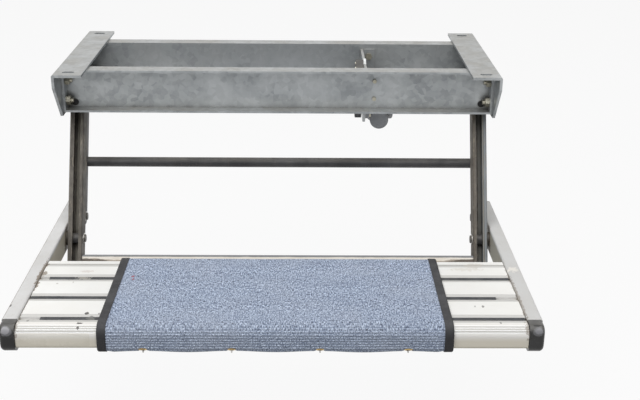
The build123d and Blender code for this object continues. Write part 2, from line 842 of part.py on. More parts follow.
arm_middle_z = (side_arm_top + side_arm_foot) / 2
spigot_width = side_arm_width - 2 * side_arm_wall - 2 * spigot_clearance
spigot_height = side_arm_height - 2 * side_arm_wall - 2 * spigot_clearance
arm_middle_x = half_width - side_arm_width / 2
angle_top = tread_top - plank_height
angle_foot = angle_top - angle_drop
angle_front = strip_y[2] - groove_width / 2 - nose_seat + angle_end_inset
angle_rear = tread_rear - angle_end_inset
rivet_z = (angle_top - angle_wall + angle_foot) / 2
rivet_y = [(angle_front + angle_rear) / 2 + k * rivet_pitch for k in (-1, 0, 1)]

for name, side in sides:
    with BuildPart() as side_arm:
        with BuildSketch(Plane.XZ.offset(-side_arm_front)):
            with Locations((side * arm_middle_x, arm_middle_z)):
                RectangleRounded(side_arm_width, side_arm_height, side_arm_round)
                RectangleRounded(
                    side_arm_width - 2 * side_arm_wall,
                    side_arm_height - 2 * side_arm_wall,
                    side_arm_round - side_arm_wall,
                    mode=Mode.SUBTRACT,
                )
        extrude(amount=side_arm_front - side_arm_rear)
        with BuildSketch(Plane.YZ.offset(side * arm_inner)):
            with Locations((lower_front_y, lower_z), (lower_rear_y, lower_z)):
                Circle(pin_radius + fit_clearance)
        extrude(amount=side * side_arm_width, mode=Mode.SUBTRACT)
        with BuildSketch(Plane.YZ.offset(side * arm_inner)):
            with Locations(*[(y, rivet_z) for y in rivet_y]):
                Circle(rivet_radius + fit_clearance)
        extrude(amount=side * side_arm_wall, mode=Mode.SUBTRACT)
    side_arm.part.label = f"side_arm_{name}"
    export_step(side_arm.part, f"parts/side_arm_{name}.step")

    with BuildPart() as end_cap:
        cap_foot_z = side_arm_foot - cap_foot
        with BuildSketch(Plane.YZ.offset(side * arm_inner)) as cap_side:
            with BuildLine():
                Polyline(
                    (side_arm_front, side_arm_top),
                    (cap_front, side_arm_top),
                    (cap_front, cap_foot_z),
                    (side_arm_front, cap_foot_z),
                    close=True,
                )
            make_face()
            fillet(cap_side.vertices().group_by(Axis.X)[0], radius=cap_round)
        extrude(amount=side * side_arm_width)
        outer_face = end_cap.faces().sort_by(Axis.X)[0 if side < 0 else -1]
        fillet(outer_face.edges().sort_by(Axis.Y)[:-1], radius=cap_edge_round)
        with BuildSketch(Plane.XZ.offset(-side_arm_front)):
            with Locations((side * arm_middle_x, arm_middle_z)):
                RectangleRounded(spigot_width, spigot_height, side_arm_round / 2)
        extrude(amount=-cap_spigot)
    end_cap.part.label = f"end_cap_{name}"
    export_step(end_cap.part, f"parts/end_cap_{name}.step")

with BuildPart() as arm_plugs:
    for _, side in sides:
        with BuildSketch(Plane.XZ.offset(-side_arm_rear)):
            with Locations((side * arm_middle_x, arm_middle_z)):
                RectangleRounded(side_arm_width, side_arm_height, side_arm_round)
        extrude(amount=-plug_head)
        with BuildSketch(Plane.XZ.offset(-side_arm_rear)):
            with Locations((side * arm_middle_x, arm_middle_z)):
                RectangleRounded(spigot_width, spigot_height, side_arm_round / 2)
        extrude(amount=cap_spigot / 2)
    fillet(arm_plugs.faces().group_by(Axis.Y)[-1].edges(), radius=plug_head_round)
arm_plugs.part.label = "arm_plugs"
export_step(arm_plugs.part, "parts/arm_plugs.step")

with BuildPart() as support_angles:
    for _, side in sides:
        with BuildSketch(Plane.XZ.offset(-angle_front)):
            with BuildLine():
                Polyline(
                    (side * arm_inner, angle_top),
                    (side * (arm_inner - angle_leg), angle_top),
                    (side * (arm_inner - angle_leg), angle_top - angle_wall),
                    (side * (arm_inner - angle_wall), angle_top - angle_wall),
                    (side * (arm_inner - angle_wall), angle_foot),
                    (side * arm_inner, angle_foot),
                    close=True,
                )
            make_face()
        extrude(amount=angle_front - angle_rear)
        with BuildSketch(Plane.YZ.offset(side * arm_inner)):
            with Locations(*[(y, rivet_z) for y in rivet_y]):
                Circle(rivet_radius + fit_clearance)
        extrude(amount=-side * angle_wall, mode=Mode.SUBTRACT)
        with BuildSketch(Plane.XY.offset(angle_top)):
            with Locations(*[(side * screw_x, y) for y in screw_y]):
                Circle(screw_shank_radius + fit_clearance)
        extrude(amount=-angle_wall, mode=Mode.SUBTRACT)
support_angles.part.label = "support_angles"
export_step(support_angles.part, "parts/support_angles.step")

platform_places = [
    (lower_front_y, lower_z, channel_inner - body_clearance),
    (lower_rear_y, lower_z, link_inner - body_clearance),
]
platform_pins = pin_pairs(platform_places, half_width - pin_inset)
platform_pins.part.label = "platform_pins"
export_step(platform_pins.part, "parts/platform_pins.step")

platform_pin_rings = ring_pairs(platform_places)
platform_pin_rings.part.label = "platform_pin_rings"
export_step(platform_pin_rings.part, "parts/platform_pin_rings.step")

with BuildPart() as angle_rivets:
    for _, side in sides:
        spots = [(y, rivet_z) for y in rivet_y]
        with BuildSketch(Plane.YZ.offset(side * (arm_inner - angle_wall))):
            with Locations(*spots):
                Circle(rivet_head_radius)
        extrude(amount=-side * rivet_head_height)
        with BuildSketch(Plane.YZ.offset(side * (arm_inner - angle_wall))):
            with Locations(*spots):
                Circle(rivet_radius)
        extrude(amount=side * (angle_wall + side_arm_wall + rivet_head_height))
        with BuildSketch(Plane.YZ.offset(side * (arm_inner + side_arm_wall))):
            with Locations(*spots):
                Circle(rivet_tail_radius)
        extrude(amount=side * rivet_head_height)
angle_rivets.part.label = "angle_rivets"
export_step(angle_rivets.part, "parts/angle_rivets.step")


# Tread platform: planks, inserts and screws

def front_edge(strip):
    """Return the outline of a plank's front edge, with the ledge that carries the insert."""
    wall = strip + groove_width / 2
    tip = strip - groove_width / 2 + plank_gap
    return [
        (wall + bevel_width, 0),
        (wall, -bevel_drop),
        (wall, -groove_depth),
        (tip, -groove_depth),
        (tip, -groove_depth - plank_wall),
        (wall, -groove_depth - plank_wall),
        (wall, -plank_height),
    ]


plank_rears = {
    "rear": tread_rear,
    "middle": strip_y[0] - groove_width / 2,
    "front": strip_y[1] - groove_width / 2,
}
for index, (name, rear) in enumerate(plank_rears.items()):
    with BuildPart() as plank:
        strip = strip_y[index]
        with BuildSketch(tread_view(-plank_half_length)) as outline:
            with BuildLine():
                if name == "rear":
                    rear_edge = [(rear, -plank_height), (rear, 0)]
                else:
                    rear_edge = [(rear, -plank_height), (rear, -bevel_drop), (rear - bevel_width, 0)]
                Polyline(*rear_edge, *front_edge(strip), close=True)
            make_face()
            if name == "rear":
                fillet(outline.vertices().group_by(Axis.X)[-1].sort_by(Axis.Y)[-1], radius=rear_edge_round)
                with Locations((rear - rear_line_inset, 0)):
                    Rectangle(rear_line_width, 2 * rear_line_depth, mode=Mode.SUBTRACT)
            foot = -plank_height + plank_wall
            head = -bevel_drop - plank_wall
            front_wall = strip + groove_width / 2 + plank_wall
            rear_wall = rear - plank_wall
            middle = (front_wall + rear_wall) / 2
            for start, stop in ((front_wall, middle - plank_rib / 2), (middle + plank_rib / 2, rear_wall)):
                with Locations(((start + stop) / 2, (foot + head) / 2)):
                    Rectangle(stop - start, head - foot, mode=Mode.SUBTRACT)
        extrude(amount=2 * plank_half_length)
        with BuildSketch(Plane.XY.offset(tread_top - plank_height)):
            with Locations(*[(side * screw_x, y) for _, side in sides for y in screw_y]):
                Circle(screw_shank_radius + fit_clearance)
        extrude(amount=plank_wall, mode=Mode.SUBTRACT)
    plank.part.label = f"plank_{name}"
    export_step(plank.part, f"parts/plank_{name}.step")

nose_rear = strip_y[2] - groove_width / 2
seat_front = nose_rear - nose_seat

with BuildPart() as plank_nose:
    arc_y = nose_front + nose_round
    foot_y = nose_front + nose_foot_round
    with BuildSketch(tread_view(-plank_half_length)):
        with BuildLine():
            Polyline(
                (arc_y, 0),
                (nose_rear - bevel_width, 0),
                (nose_rear, -bevel_drop),
                (nose_rear, -plank_height),
                (seat_front, -plank_height),
                (seat_front, -nose_height),
                (foot_y, -nose_height),
            )
            CenterArc((foot_y, -nose_height + nose_foot_round), nose_foot_round, 180, 90)
            Line((nose_front, -nose_height + nose_foot_round), (nose_front, -nose_round))
            CenterArc((arc_y, -nose_round), nose_round, 90, 90)
        make_face()
        for angle in nose_line_angles:
            turn = math.radians(angle)
            spot = (arc_y - nose_round * math.sin(turn), -nose_round + nose_round * math.cos(turn))
            with Locations(spot):
                Circle(nose_line_radius, mode=Mode.SUBTRACT)
        with BuildLine():
            Polyline(
                (arc_y, -plank_wall),
                (nose_rear - bevel_width, -plank_wall - bevel_drop),
                (nose_rear - plank_wall, -plank_wall - bevel_drop),
                (nose_rear - plank_wall, -plank_height + plank_wall),
                (seat_front - plank_wall, -plank_height + plank_wall),
                (seat_front - plank_wall, -nose_height + plank_wall),
                (foot_y, -nose_height + plank_wall),
                (nose_front + plank_wall, -nose_height + nose_foot_round),
                (nose_front + plank_wall, -nose_round),
            )
            CenterArc((arc_y, -nose_round), nose_round - plank_wall, 90, 90)
        make_face(mode=Mode.SUBTRACT)
    extrude(amount=2 * plank_half_length)
    with BuildSketch(Plane.XY.offset(tread_top - plank_height)):
        with Locations(*[(side * screw_x, y) for _, side in sides for y in screw_y]):
            Circle(screw_shank_radius + fit_clearance)
    extrude(amount=plank_wall, mode=Mode.SUBTRACT)
plank_nose.part.label = "plank_nose"
export_step(plank_nose.part, "parts/plank_nose.step")

for name, strip in zip(strip_short_ends, strip_y):
    short_left, short_right = strip_short_ends[name]
    start_x = -plank_half_length + strip_end_gap + short_left
    stop_x = plank_half_length - strip_end_gap - short_right
    with BuildPart() as grip_strip:
        with BuildSketch(tread_view(start_x)):
            with Locations((strip, -groove_depth + strip_height / 2)):
                Rectangle(strip_width, strip_height)
            for offset_y in (-strip_width / 6, strip_width / 6):
                with Locations((strip + offset_y, -groove_depth + strip_height)):
                    Rectangle(strip_ridge, 2 * strip_ridge, rotation=ridge_turn, mode=Mode.SUBTRACT)
        extrude(amount=stop_x - start_x)
    grip_strip.part.label = f"grip_strip_{name}"
    export_step(grip_strip.part, f"parts/grip_strip_{name}.step")

with BuildPart() as plank_screws:
    spots = [(side * screw_x, y) for _, side in sides for y in screw_y]
    with BuildSketch(Plane.XY.offset(angle_top - angle_wall)):
        with Locations(*spots):
            Circle(screw_head_radius)
    extrude(amount=-screw_head_height)
    with BuildSketch(Plane.XY.offset(angle_top - angle_wall)):
        with Locations(*spots):
            Circle(screw_shank_radius)
    extrude(amount=angle_wall + plank_wall + screw_tail)
plank_screws.part.label = "plank_screws"
export_step(plank_screws.part, "parts/plank_screws.step")


# Drive: pinion, gear motor and limit switch

pinion_front_x = sector_x - pinion_overlap
pinion_root = gear_module * (pinion_teeth / 2 - dedendum_share)
pinion_step = 360 / pinion_teeth
pinion_phase = mesh_angle + 180 + pinion_step / 2
output_end_x = plate_outer_x + output_shaft_depth - body_clearance

with BuildPart() as drive_pinion:
    with BuildSketch(Plane.YZ.offset(pinion_front_x)):
        with Locations((pinion_y, pinion_z)):
            Circle(pinion_root)
        for tooth in range(pinion_teeth):
            with BuildLine():
                points = tooth_points(pinion_teeth, pinion_phase + tooth * pinion_step)
                Polyline(*[(pinion_y + y, pinion_z + z) for y, z in points], close=True)
            make_face()
        with Locations((pinion_y, pinion_z)):
            Circle(output_shaft_radius + fit_clearance, mode=Mode.SUBTRACT)
    extrude(amount=sector_width + 2 * pinion_overlap)
drive_pinion.part.label = "drive_pinion"
export_step(drive_pinion.part, "parts/drive_pinion.step")

with BuildPart() as output_shaft:
    with BuildSketch(Plane.YZ.offset(pinion_front_x - output_shaft_tail)):
        with Locations((pinion_y, pinion_z)):
            Circle(output_shaft_radius)
    extrude(amount=output_end_x - pinion_front_x + output_shaft_tail)
    chamfer(output_shaft.edges().sort_by(Axis.X)[0], length=shaft_chamfer)
output_shaft.part.label = "output_shaft"
export_step(output_shaft.part, "parts/output_shaft.step")

ear_spots = [
    (
        pinion_y + gearbox_ear_distance * math.cos(math.radians(angle)),
        pinion_z + gearbox_ear_distance * math.sin(math.radians(angle)),
    )
    for angle in gearbox_ear_angles
]

# The switch stands on the path of the sector's leading edge, where the swing ends
stop_angle = math.radians(mesh_angle + sector_margin + swing_range)
edge_y = front_pivot_y + switch_reach * math.cos(stop_angle)
edge_z = pivot_z + switch_reach * math.sin(stop_angle)
press_direction = (0.0, -math.sin(stop_angle), math.cos(stop_angle))
switch_x = sector_x + sector_width / 2
plunger_plane = Plane(origin=(switch_x, edge_y, edge_z), x_dir=(1, 0, 0), z_dir=press_direction)
switch_side_plane = Plane(
    origin=(plate_inner_x, edge_y, edge_z),
    x_dir=(0, math.cos(stop_angle), math.sin(stop_angle)),
    z_dir=(1, 0, 0),
)
switch_foot = plunger_gap + plunger_proud
switch_screw_places = [
    (side * switch_screw_spacing / 2, switch_foot + switch_screw_rise) for _, side in sides
]

with BuildPart() as motor_plate:
    with BuildSketch(Plane.YZ.offset(plate_inner_x)):
        with BuildLine():
            Polyline(
                (-channel_face, motor_plate_top),
                (channel_face, motor_plate_top),
                (channel_face, motor_plate_shoulder),
                (pinion_y + motor_plate_foot_half, motor_plate_foot),
                (pinion_y - motor_plate_foot_half, motor_plate_foot),
                (-channel_face, motor_plate_shoulder),
                close=True,
            )
        make_face()
    extrude(amount=motor_plate_wall)
    with BuildSketch(switch_side_plane):
        with Locations((0, switch_foot + switch_height / 2)):
            Rectangle(switch_length + 2 * switch_border, switch_height)
    extrude(amount=motor_plate_wall)
    for end in (-1, 1):
        with BuildSketch(Plane.XZ.offset(-end * channel_face)):
            with Locations((plate_inner_x, motor_plate_top)):
                Rectangle(
                    motor_plate_wall + plate_tab,
                    motor_plate_top - motor_plate_shoulder,
                    align=(Align.MIN, Align.MAX),
                )
        extrude(amount=end * motor_plate_wall)
        with BuildSketch(Plane.XZ.offset(-end * channel_face)):
            with Locations(*plate_screw_spots):
                Circle(plate_screw_radius + fit_clearance)
        extrude(amount=end * motor_plate_wall, mode=Mode.SUBTRACT)
    with BuildSketch(Plane.YZ.offset(plate_inner_x)):
        with Locations((front_pivot_y, pivot_z)):
            Circle(shaft_radius + plate_hole_clearance)
        with Locations((pinion_y, pinion_z)):
            Circle(output_shaft_radius + plate_hole_clearance)
        with Locations(*ear_spots):
            Circle(plate_screw_radius + fit_clearance)
    extrude(amount=motor_plate_wall, mode=Mode.SUBTRACT)
    with BuildSketch(switch_side_plane):
        with Locations(*switch_screw_places):
            Circle(switch_screw_radius + fit_clearance)
    extrude(amount=motor_plate_wall, mode=Mode.SUBTRACT)
motor_plate.part.label = "motor_plate"
export_step(motor_plate.part, "parts/motor_plate.step")

with BuildPart() as motor_plate_screws:
    for end in (-1, 1):
        with BuildSketch(Plane.XZ.offset(-end * (channel_face - motor_plate_wall))):
            with Locations(*plate_screw_spots):
                RegularPolygon(plate_screw_head, 6, major_radius=False)
        extrude(amount=end * plate_screw_radius)
        with BuildSketch(Plane.XZ.offset(-end * (channel_face - motor_plate_wall))):
            with Locations(*plate_screw_spots):
                Circle(plate_screw_radius)
        extrude(amount=-end * (motor_plate_wall + cross_wall + plate_screw_tail))
motor_plate_screws.part.label = "motor_plate_screws"
export_step(motor_plate_screws.part, "parts/motor_plate_screws.step")

with BuildPart() as gearbox_housing:
    with BuildSketch(Plane.YZ.offset(plate_outer_x)):
        with Locations((pinion_y, pinion_z)):
            Circle(gearbox_radius)
    extrude(amount=gearbox_width)
    fillet(gearbox_housing.edges().sort_by(Axis.X)[-1], radius=gearbox_round)
    with BuildSketch(Plane.XZ.offset(-pinion_y + worm_case_half_length)):
        with Locations((gearbox_middle_x, worm_z)):
            Circle(worm_case_radius)
    extrude(amount=-2 * worm_case_half_length)
    with BuildSketch(Plane.XZ.offset(-pinion_y - worm_case_half_length)):
        with Locations((gearbox_middle_x, worm_z)):
            Circle(motor_radius)
    extrude(amount=motor_flange)
    with BuildSketch(Plane.YZ.offset(plate_outer_x)):
        for spot in ear_spots:
            ear_middle = ((spot[0] + pinion_y) / 2, (spot[1] + pinion_z) / 2)
            SlotCenterPoint(ear_middle, spot, 2 * gearbox_ear_radius)
    extrude(amount=gearbox_ear_thickness)
    with BuildSketch(Plane.YZ.offset(plate_outer_x)):
        with Locations(*ear_spots):
            Circle(plate_screw_radius + fit_clearance)
    extrude(amount=gearbox_ear_thickness, mode=Mode.SUBTRACT)
    with BuildSketch(Plane.YZ.offset(plate_outer_x)):
        with Locations((pinion_y, pinion_z)):
            Circle(output_shaft_radius + fit_clearance)
    extrude(amount=output_shaft_depth, mode=Mode.SUBTRACT)
gearbox_housing.part.label = "gearbox_housing"
export_step(gearbox_housing.part, "parts/gearbox_housing.step")

with BuildPart() as gearbox_screws:
    with BuildSketch(Plane.YZ.offset(plate_outer_x + gearbox_ear_thickness)):
        with Locations(*ear_spots):
            RegularPolygon(plate_screw_head, 6, major_radius=False)
    extrude(amount=plate_screw_radius)
    with BuildSketch(Plane.YZ.offset(plate_outer_x + gearbox_ear_thickness)):
        with Locations(*ear_spots):
            Circle(plate_screw_radius)
    extrude(amount=-(gearbox_ear_thickness + motor_plate_wall))
gearbox_screws.part.label = "gearbox_screws"
export_step(gearbox_screws.part, "parts/gearbox_screws.step")

motor_start_y = pinion_y + worm_case_half_length
motor_end_y = motor_start_y + motor_length

with BuildPart() as motor_can:
    with BuildSketch(Plane.XZ.offset(-motor_start_y)):
        with Locations((gearbox_middle_x, worm_z)):
            Circle(motor_radius)
    extrude(amount=-motor_length)
motor_can.part.label = "motor_can"
export_step(motor_can.part, "parts/motor_can.step")

with BuildPart() as motor_end_cap:
    with BuildSketch(Plane.XZ.offset(-motor_end_y)):
        with Locations((gearbox_middle_x, worm_z)):
            Circle(motor_radius)
    extrude(amount=-motor_cap_length)
    fillet(motor_end_cap.edges().sort_by(Axis.Y)[-1], radius=motor_end_round)
    with BuildSketch(Plane.XZ.offset(-motor_end_y - motor_cap_length)):
        with Locations((gearbox_middle_x, worm_z)):
            Circle(gland_thread_radius + fit_clearance)
    extrude(amount=motor_cap_length, mode=Mode.SUBTRACT)
motor_end_cap.part.label = "motor_end_cap"
export_step(motor_end_cap.part, "parts/motor_end_cap.step")

with BuildPart() as cable_gland:
    with BuildSketch(Plane.XZ.offset(-motor_end_y)):
        with Locations((gearbox_middle_x, worm_z)):
            Circle(gland_thread_radius)
    extrude(amount=-motor_cap_length)
    with BuildSketch(Plane.XZ.offset(-motor_end_y - motor_cap_length)):
        with Locations((gearbox_middle_x, worm_z)):
            RegularPolygon(gland_radius, 6, major_radius=False)
    extrude(amount=-gland_length / 2)
    with BuildSketch(Plane.XZ.offset(-motor_end_y - motor_cap_length - gland_length / 2)):
        with Locations((gearbox_middle_x, worm_z)):
            Circle(gland_nut_radius)
    extrude(amount=-gland_length / 2)
    fillet(cable_gland.edges().sort_by(Axis.Y)[-1], radius=gland_round)
    with BuildSketch(Plane.XZ.offset(-motor_end_y)):
        with Locations((gearbox_middle_x, worm_z)):
            Circle(gland_bore_radius)
    extrude(amount=-(motor_cap_length + gland_length), mode=Mode.SUBTRACT)
cable_gland.part.label = "cable_gland"
export_step(cable_gland.part, "parts/cable_gland.step")

with BuildPart() as limit_switch:
    with BuildSketch(switch_side_plane):
        with Locations((0, switch_foot + switch_height / 2)):
            Rectangle(switch_length, switch_height)
    extrude(amount=-(plate_inner_x - switch_x + switch_thickness / 2))
    with BuildSketch(switch_side_plane):
        with Locations(*switch_screw_places):
            Circle(switch_screw_radius + fit_clearance)
    extrude(amount=-(plate_inner_x - switch_x + switch_thickness / 2), mode=Mode.SUBTRACT)
    with BuildSketch(plunger_plane.offset(switch_foot)):
        Circle(plunger_radius + fit_clearance)
    extrude(amount=plunger_depth + plunger_travel + body_clearance, mode=Mode.SUBTRACT)
limit_switch.part.label = "limit_switch"
export_step(limit_switch.part, "parts/limit_switch.step")

with BuildPart() as switch_screws:
    head_x = switch_x - switch_thickness / 2 - plate_inner_x
    with BuildSketch(switch_side_plane.offset(head_x)):
        with Locations(*switch_screw_places):
            Circle(2 * switch_screw_radius)
    extrude(amount=-switch_screw_radius)
    with BuildSketch(switch_side_plane.offset(head_x)):
        with Locations(*switch_screw_places):
            Circle(switch_screw_radius)
    extrude(amount=motor_plate_wall - head_x)
switch_screws.part.label = "switch_screws"
export_step(switch_screws.part, "parts/switch_screws.step")

with BuildPart() as switch_plunger:
    with BuildSketch(plunger_plane.offset(plunger_gap)):
        Circle(plunger_radius)
    extrude(amount=plunger_proud + plunger_depth)
    fillet(switch_plunger.faces().sort_by(Axis.Z)[0].edges(), radius=plunger_round)
switch_plunger.part.label = "switch_plunger"
export_step(switch_plunger.part, "parts/switch_plunger.step")


# Mat over the tread, with its bindings, eyelets and springs

flap_front = nose_front + nose_foot_round + mat_front_flap
flap_rear = tread_rear - mat_rear_flap
nose_arc_y = nose_front + nose_round
nose_foot_y = nose_front + nose_foot_round


def wrap_path(grow):
    """Draw the mat's way round the tread in the open line, at a distance outside the planks."""
    rear_arc_y = tread_rear - rear_edge_round
    Line((flap_front, -nose_height - grow), (nose_foot_y, -nose_height - grow))
    CenterArc((nose_foot_y, -nose_height + nose_foot_round), nose_foot_round + grow, 180, 90)
    Line((nose_front - grow, -nose_height + nose_foot_round), (nose_front - grow, -nose_round))
    CenterArc((nose_arc_y, -nose_round), nose_round + grow, 90, 90)
    Line((nose_arc_y, grow), (rear_arc_y, grow))
    CenterArc((rear_arc_y, -rear_edge_round), rear_edge_round + grow, 0, 90)
    Line((tread_rear + grow, -rear_edge_round), (tread_rear + grow, -plank_height))
    CenterArc((tread_rear, -plank_height), grow, 270, 90)
    Line((tread_rear, -plank_height - grow), (flap_rear, -plank_height - grow))


# Where the eyelets sit: four round the nose's foot and four under the rear flap
eyelet_turn = math.radians(eyelet_angle)
eyelet_x = [mat_shift + (i - (eyelet_count - 1) / 2) * eyelet_pitch for i in range(eyelet_count)]
seat_distance = nose_foot_round + mat_gap + eyelet_depth
front_seat = Plane(
    origin=(
        0,
        nose_foot_y - seat_distance * math.cos(eyelet_turn),
        tread_top - nose_height + nose_foot_round - seat_distance * math.sin(eyelet_turn),
    ),
    x_dir=(1, 0, 0),
    z_dir=(0, -math.cos(eyelet_turn), -math.sin(eyelet_turn)),
)
rear_seat = Plane(
    origin=(0, tread_rear - mat_rear_flap / 2, tread_top - plank_height - mat_gap - eyelet_depth),
    x_dir=(1, 0, 0),
    z_dir=(0, 0, -1),
)
mat_half = mat_width / 2 - binding_width

with BuildPart() as mat:
    with BuildSketch(tread_view(mat_shift - mat_half)):
        with BuildLine():
            wrap_path(mat_gap)
            wrap_path(mat_gap + mat_thickness)
            Line(
                (flap_front, -nose_height - mat_gap),
                (flap_front, -nose_height - mat_gap - mat_thickness),
            )
            Line(
                (flap_rear, -plank_height - mat_gap),
                (flap_rear, -plank_height - mat_gap - mat_thickness),
            )
        make_face()
    extrude(amount=2 * mat_half)
    for seat in (front_seat, rear_seat):
        with BuildSketch(seat):
            with Locations(*[(x, 0) for x in eyelet_x]):
                Circle(eyelet_radius + fit_clearance)
        extrude(amount=mat_thickness, mode=Mode.SUBTRACT)
        with BuildSketch(seat.offset(-eyelet_depth)):
            with Locations(*[(x, 0) for x in eyelet_x]):
                Circle(eyelet_hole_radius + eyelet_wall + fit_clearance)
        extrude(amount=2 * eyelet_depth, mode=Mode.SUBTRACT)
mat.part.label = "mat"
export_step(mat.part, "parts/mat.step")

for name, side in sides:
    with BuildPart() as mat_binding:
        with BuildSketch(tread_view(mat_shift + side * mat_half)):
            with BuildLine():
                wrap_path(mat_gap)
                wrap_path(mat_gap + mat_thickness + binding_proud)
                Line(
                    (flap_front, -nose_height - mat_gap),
                    (flap_front, -nose_height - mat_gap - mat_thickness - binding_proud),
                )
                Line(
                    (flap_rear, -plank_height - mat_gap),
                    (flap_rear, -plank_height - mat_gap - mat_thickness - binding_proud),
                )
            make_face()
        extrude(amount=side * binding_width)
    mat_binding.part.label = f"mat_binding_{name}"
    export_step(mat_binding.part, f"parts/mat_binding_{name}.step")

with BuildPart() as mat_eyelets:
    for seat in (front_seat, rear_seat):
        with BuildSketch(seat):
            with Locations(*[(x, 0) for x in eyelet_x]):
                Circle(eyelet_radius)
                Circle(eyelet_hole_radius, mode=Mode.SUBTRACT)
        extrude(amount=eyelet_flange)
        with BuildSketch(seat):
            with Locations(*[(x, 0) for x in eyelet_x]):
                Circle(eyelet_hole_radius + eyelet_wall)
                Circle(eyelet_hole_radius, mode=Mode.SUBTRACT)
        extrude(amount=-(eyelet_depth - body_clearance))
mat_eyelets.part.label = "mat_eyelets"
export_step(mat_eyelets.part, "parts/mat_eyelets.step")

# The hooks of the springs lean on the eyelets' rims, on the side that the springs pull to
hook_offset = eyelet_hole_radius - spring_wire_radius
hook_y = front_seat.origin.Y + hook_offset * math.sin(eyelet_turn)
hook_z = front_seat.origin.Z - hook_offset * math.cos(eyelet_turn)
spring_z = tread_top - spring_drop
hook_reach = (hook_z - spring_z) / math.sin(eyelet_turn)
spring_front = flap_front + spring_inset
spring_rear = spring_front + spring_body_length
rear_hook_y = rear_seat.origin.Y - hook_offset
hook_paths = (
    [
        (0, spring_front, spring_z),
        (0, hook_y - hook_reach * math.cos(eyelet_turn), spring_z),
        (0, hook_y + hook_depth * math.cos(eyelet_turn), hook_z + hook_depth * math.sin(eyelet_turn)),
    ],
    [
        (0, spring_rear, spring_z),
        (0, rear_hook_y, spring_z),
        (0, rear_hook_y, rear_seat.origin.Z + hook_depth),
    ],
)

with BuildPart() as mat_springs:
    with BuildSketch(Plane.XZ.offset(-spring_front)):
        with Locations(*[(x, spring_z) for x in eyelet_x]):
            Circle(spring_radius)
    extrude(amount=-spring_body_length)
    for start_y, direction, path in zip((spring_front, spring_rear), (-1, 1), hook_paths):
        for x in eyelet_x:
            with BuildLine() as wire:
                FilletPolyline(*[(x, y, z) for _, y, z in path], radius=hook_round)
            with BuildSketch(Plane(origin=(x, start_y, spring_z), x_dir=(1, 0, 0), z_dir=(0, direction, 0))):
                Circle(spring_wire_radius)
            sweep(path=wire.wires()[0])
mat_springs.part.label = "mat_springs"
export_step(mat_springs.part, "parts/mat_springs.step")
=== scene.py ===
"""Looks of the camper entry step: its finishes, mat, springs and label film, with camera and studio."""

import logging
import math
from collections.abc import Callable, Iterable
from dataclasses import dataclass, field, replace
from enum import Enum
from typing import ClassVar

import bmesh
import bpy
from bmesh.types import BMEdge, BMesh, BMVert
from bpy.types import Node, NodeSocket
from mathutils import Matrix, Vector


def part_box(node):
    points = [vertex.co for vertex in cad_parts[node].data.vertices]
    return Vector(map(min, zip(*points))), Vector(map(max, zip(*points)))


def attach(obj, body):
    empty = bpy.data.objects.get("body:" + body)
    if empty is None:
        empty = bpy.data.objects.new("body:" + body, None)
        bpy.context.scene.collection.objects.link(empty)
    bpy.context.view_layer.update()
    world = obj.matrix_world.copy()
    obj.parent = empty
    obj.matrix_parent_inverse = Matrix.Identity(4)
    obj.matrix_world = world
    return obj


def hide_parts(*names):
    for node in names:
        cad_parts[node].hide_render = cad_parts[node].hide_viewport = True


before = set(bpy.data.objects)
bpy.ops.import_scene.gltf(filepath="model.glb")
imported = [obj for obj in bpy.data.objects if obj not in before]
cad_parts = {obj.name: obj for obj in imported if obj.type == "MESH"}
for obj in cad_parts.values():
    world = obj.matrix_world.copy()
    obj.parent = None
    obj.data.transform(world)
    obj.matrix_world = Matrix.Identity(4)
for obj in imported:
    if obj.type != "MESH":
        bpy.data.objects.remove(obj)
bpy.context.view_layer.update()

log = logging.getLogger("entry_step")

Colour = tuple[float, float, float]
Axes = tuple[float, float, float]
Value = NodeSocket | float | Axes

MM = 0.001
TREAD_TOP = -244.71 * MM
NOSE_FRONT = -474.21 * MM
NOSE_ROUND = 12.0 * MM
FELT_MIDDLE = 2.0 * MM
MAT_RIB_PITCH = 3.6 * MM
Z_AXIS = Vector((0, 0, 1))


def srgb(red: float, green: float, blue: float) -> Colour:
    """Turns a colour as a screen shows it, 0 to 255, into the light that a surface gives back.

    Args:
        red: Red on the screen.
        green: Green on the screen.
        blue: Blue on the screen.

    Returns:
        The linear colour.
    """
    return tuple(((v / 255 + 0.055) / 1.055) ** 2.4 for v in (red, green, blue))


# Shader building


class Socket(Enum):
    """The kinds of socket that the effects have."""

    NUMBER = "NodeSocketFloat"
    VECTOR = "NodeSocketVector"


@dataclass(frozen=True)
class Port:
    """One named input or output of an effect."""

    name: str
    kind: Socket = Socket.NUMBER
    start: float = 0.0


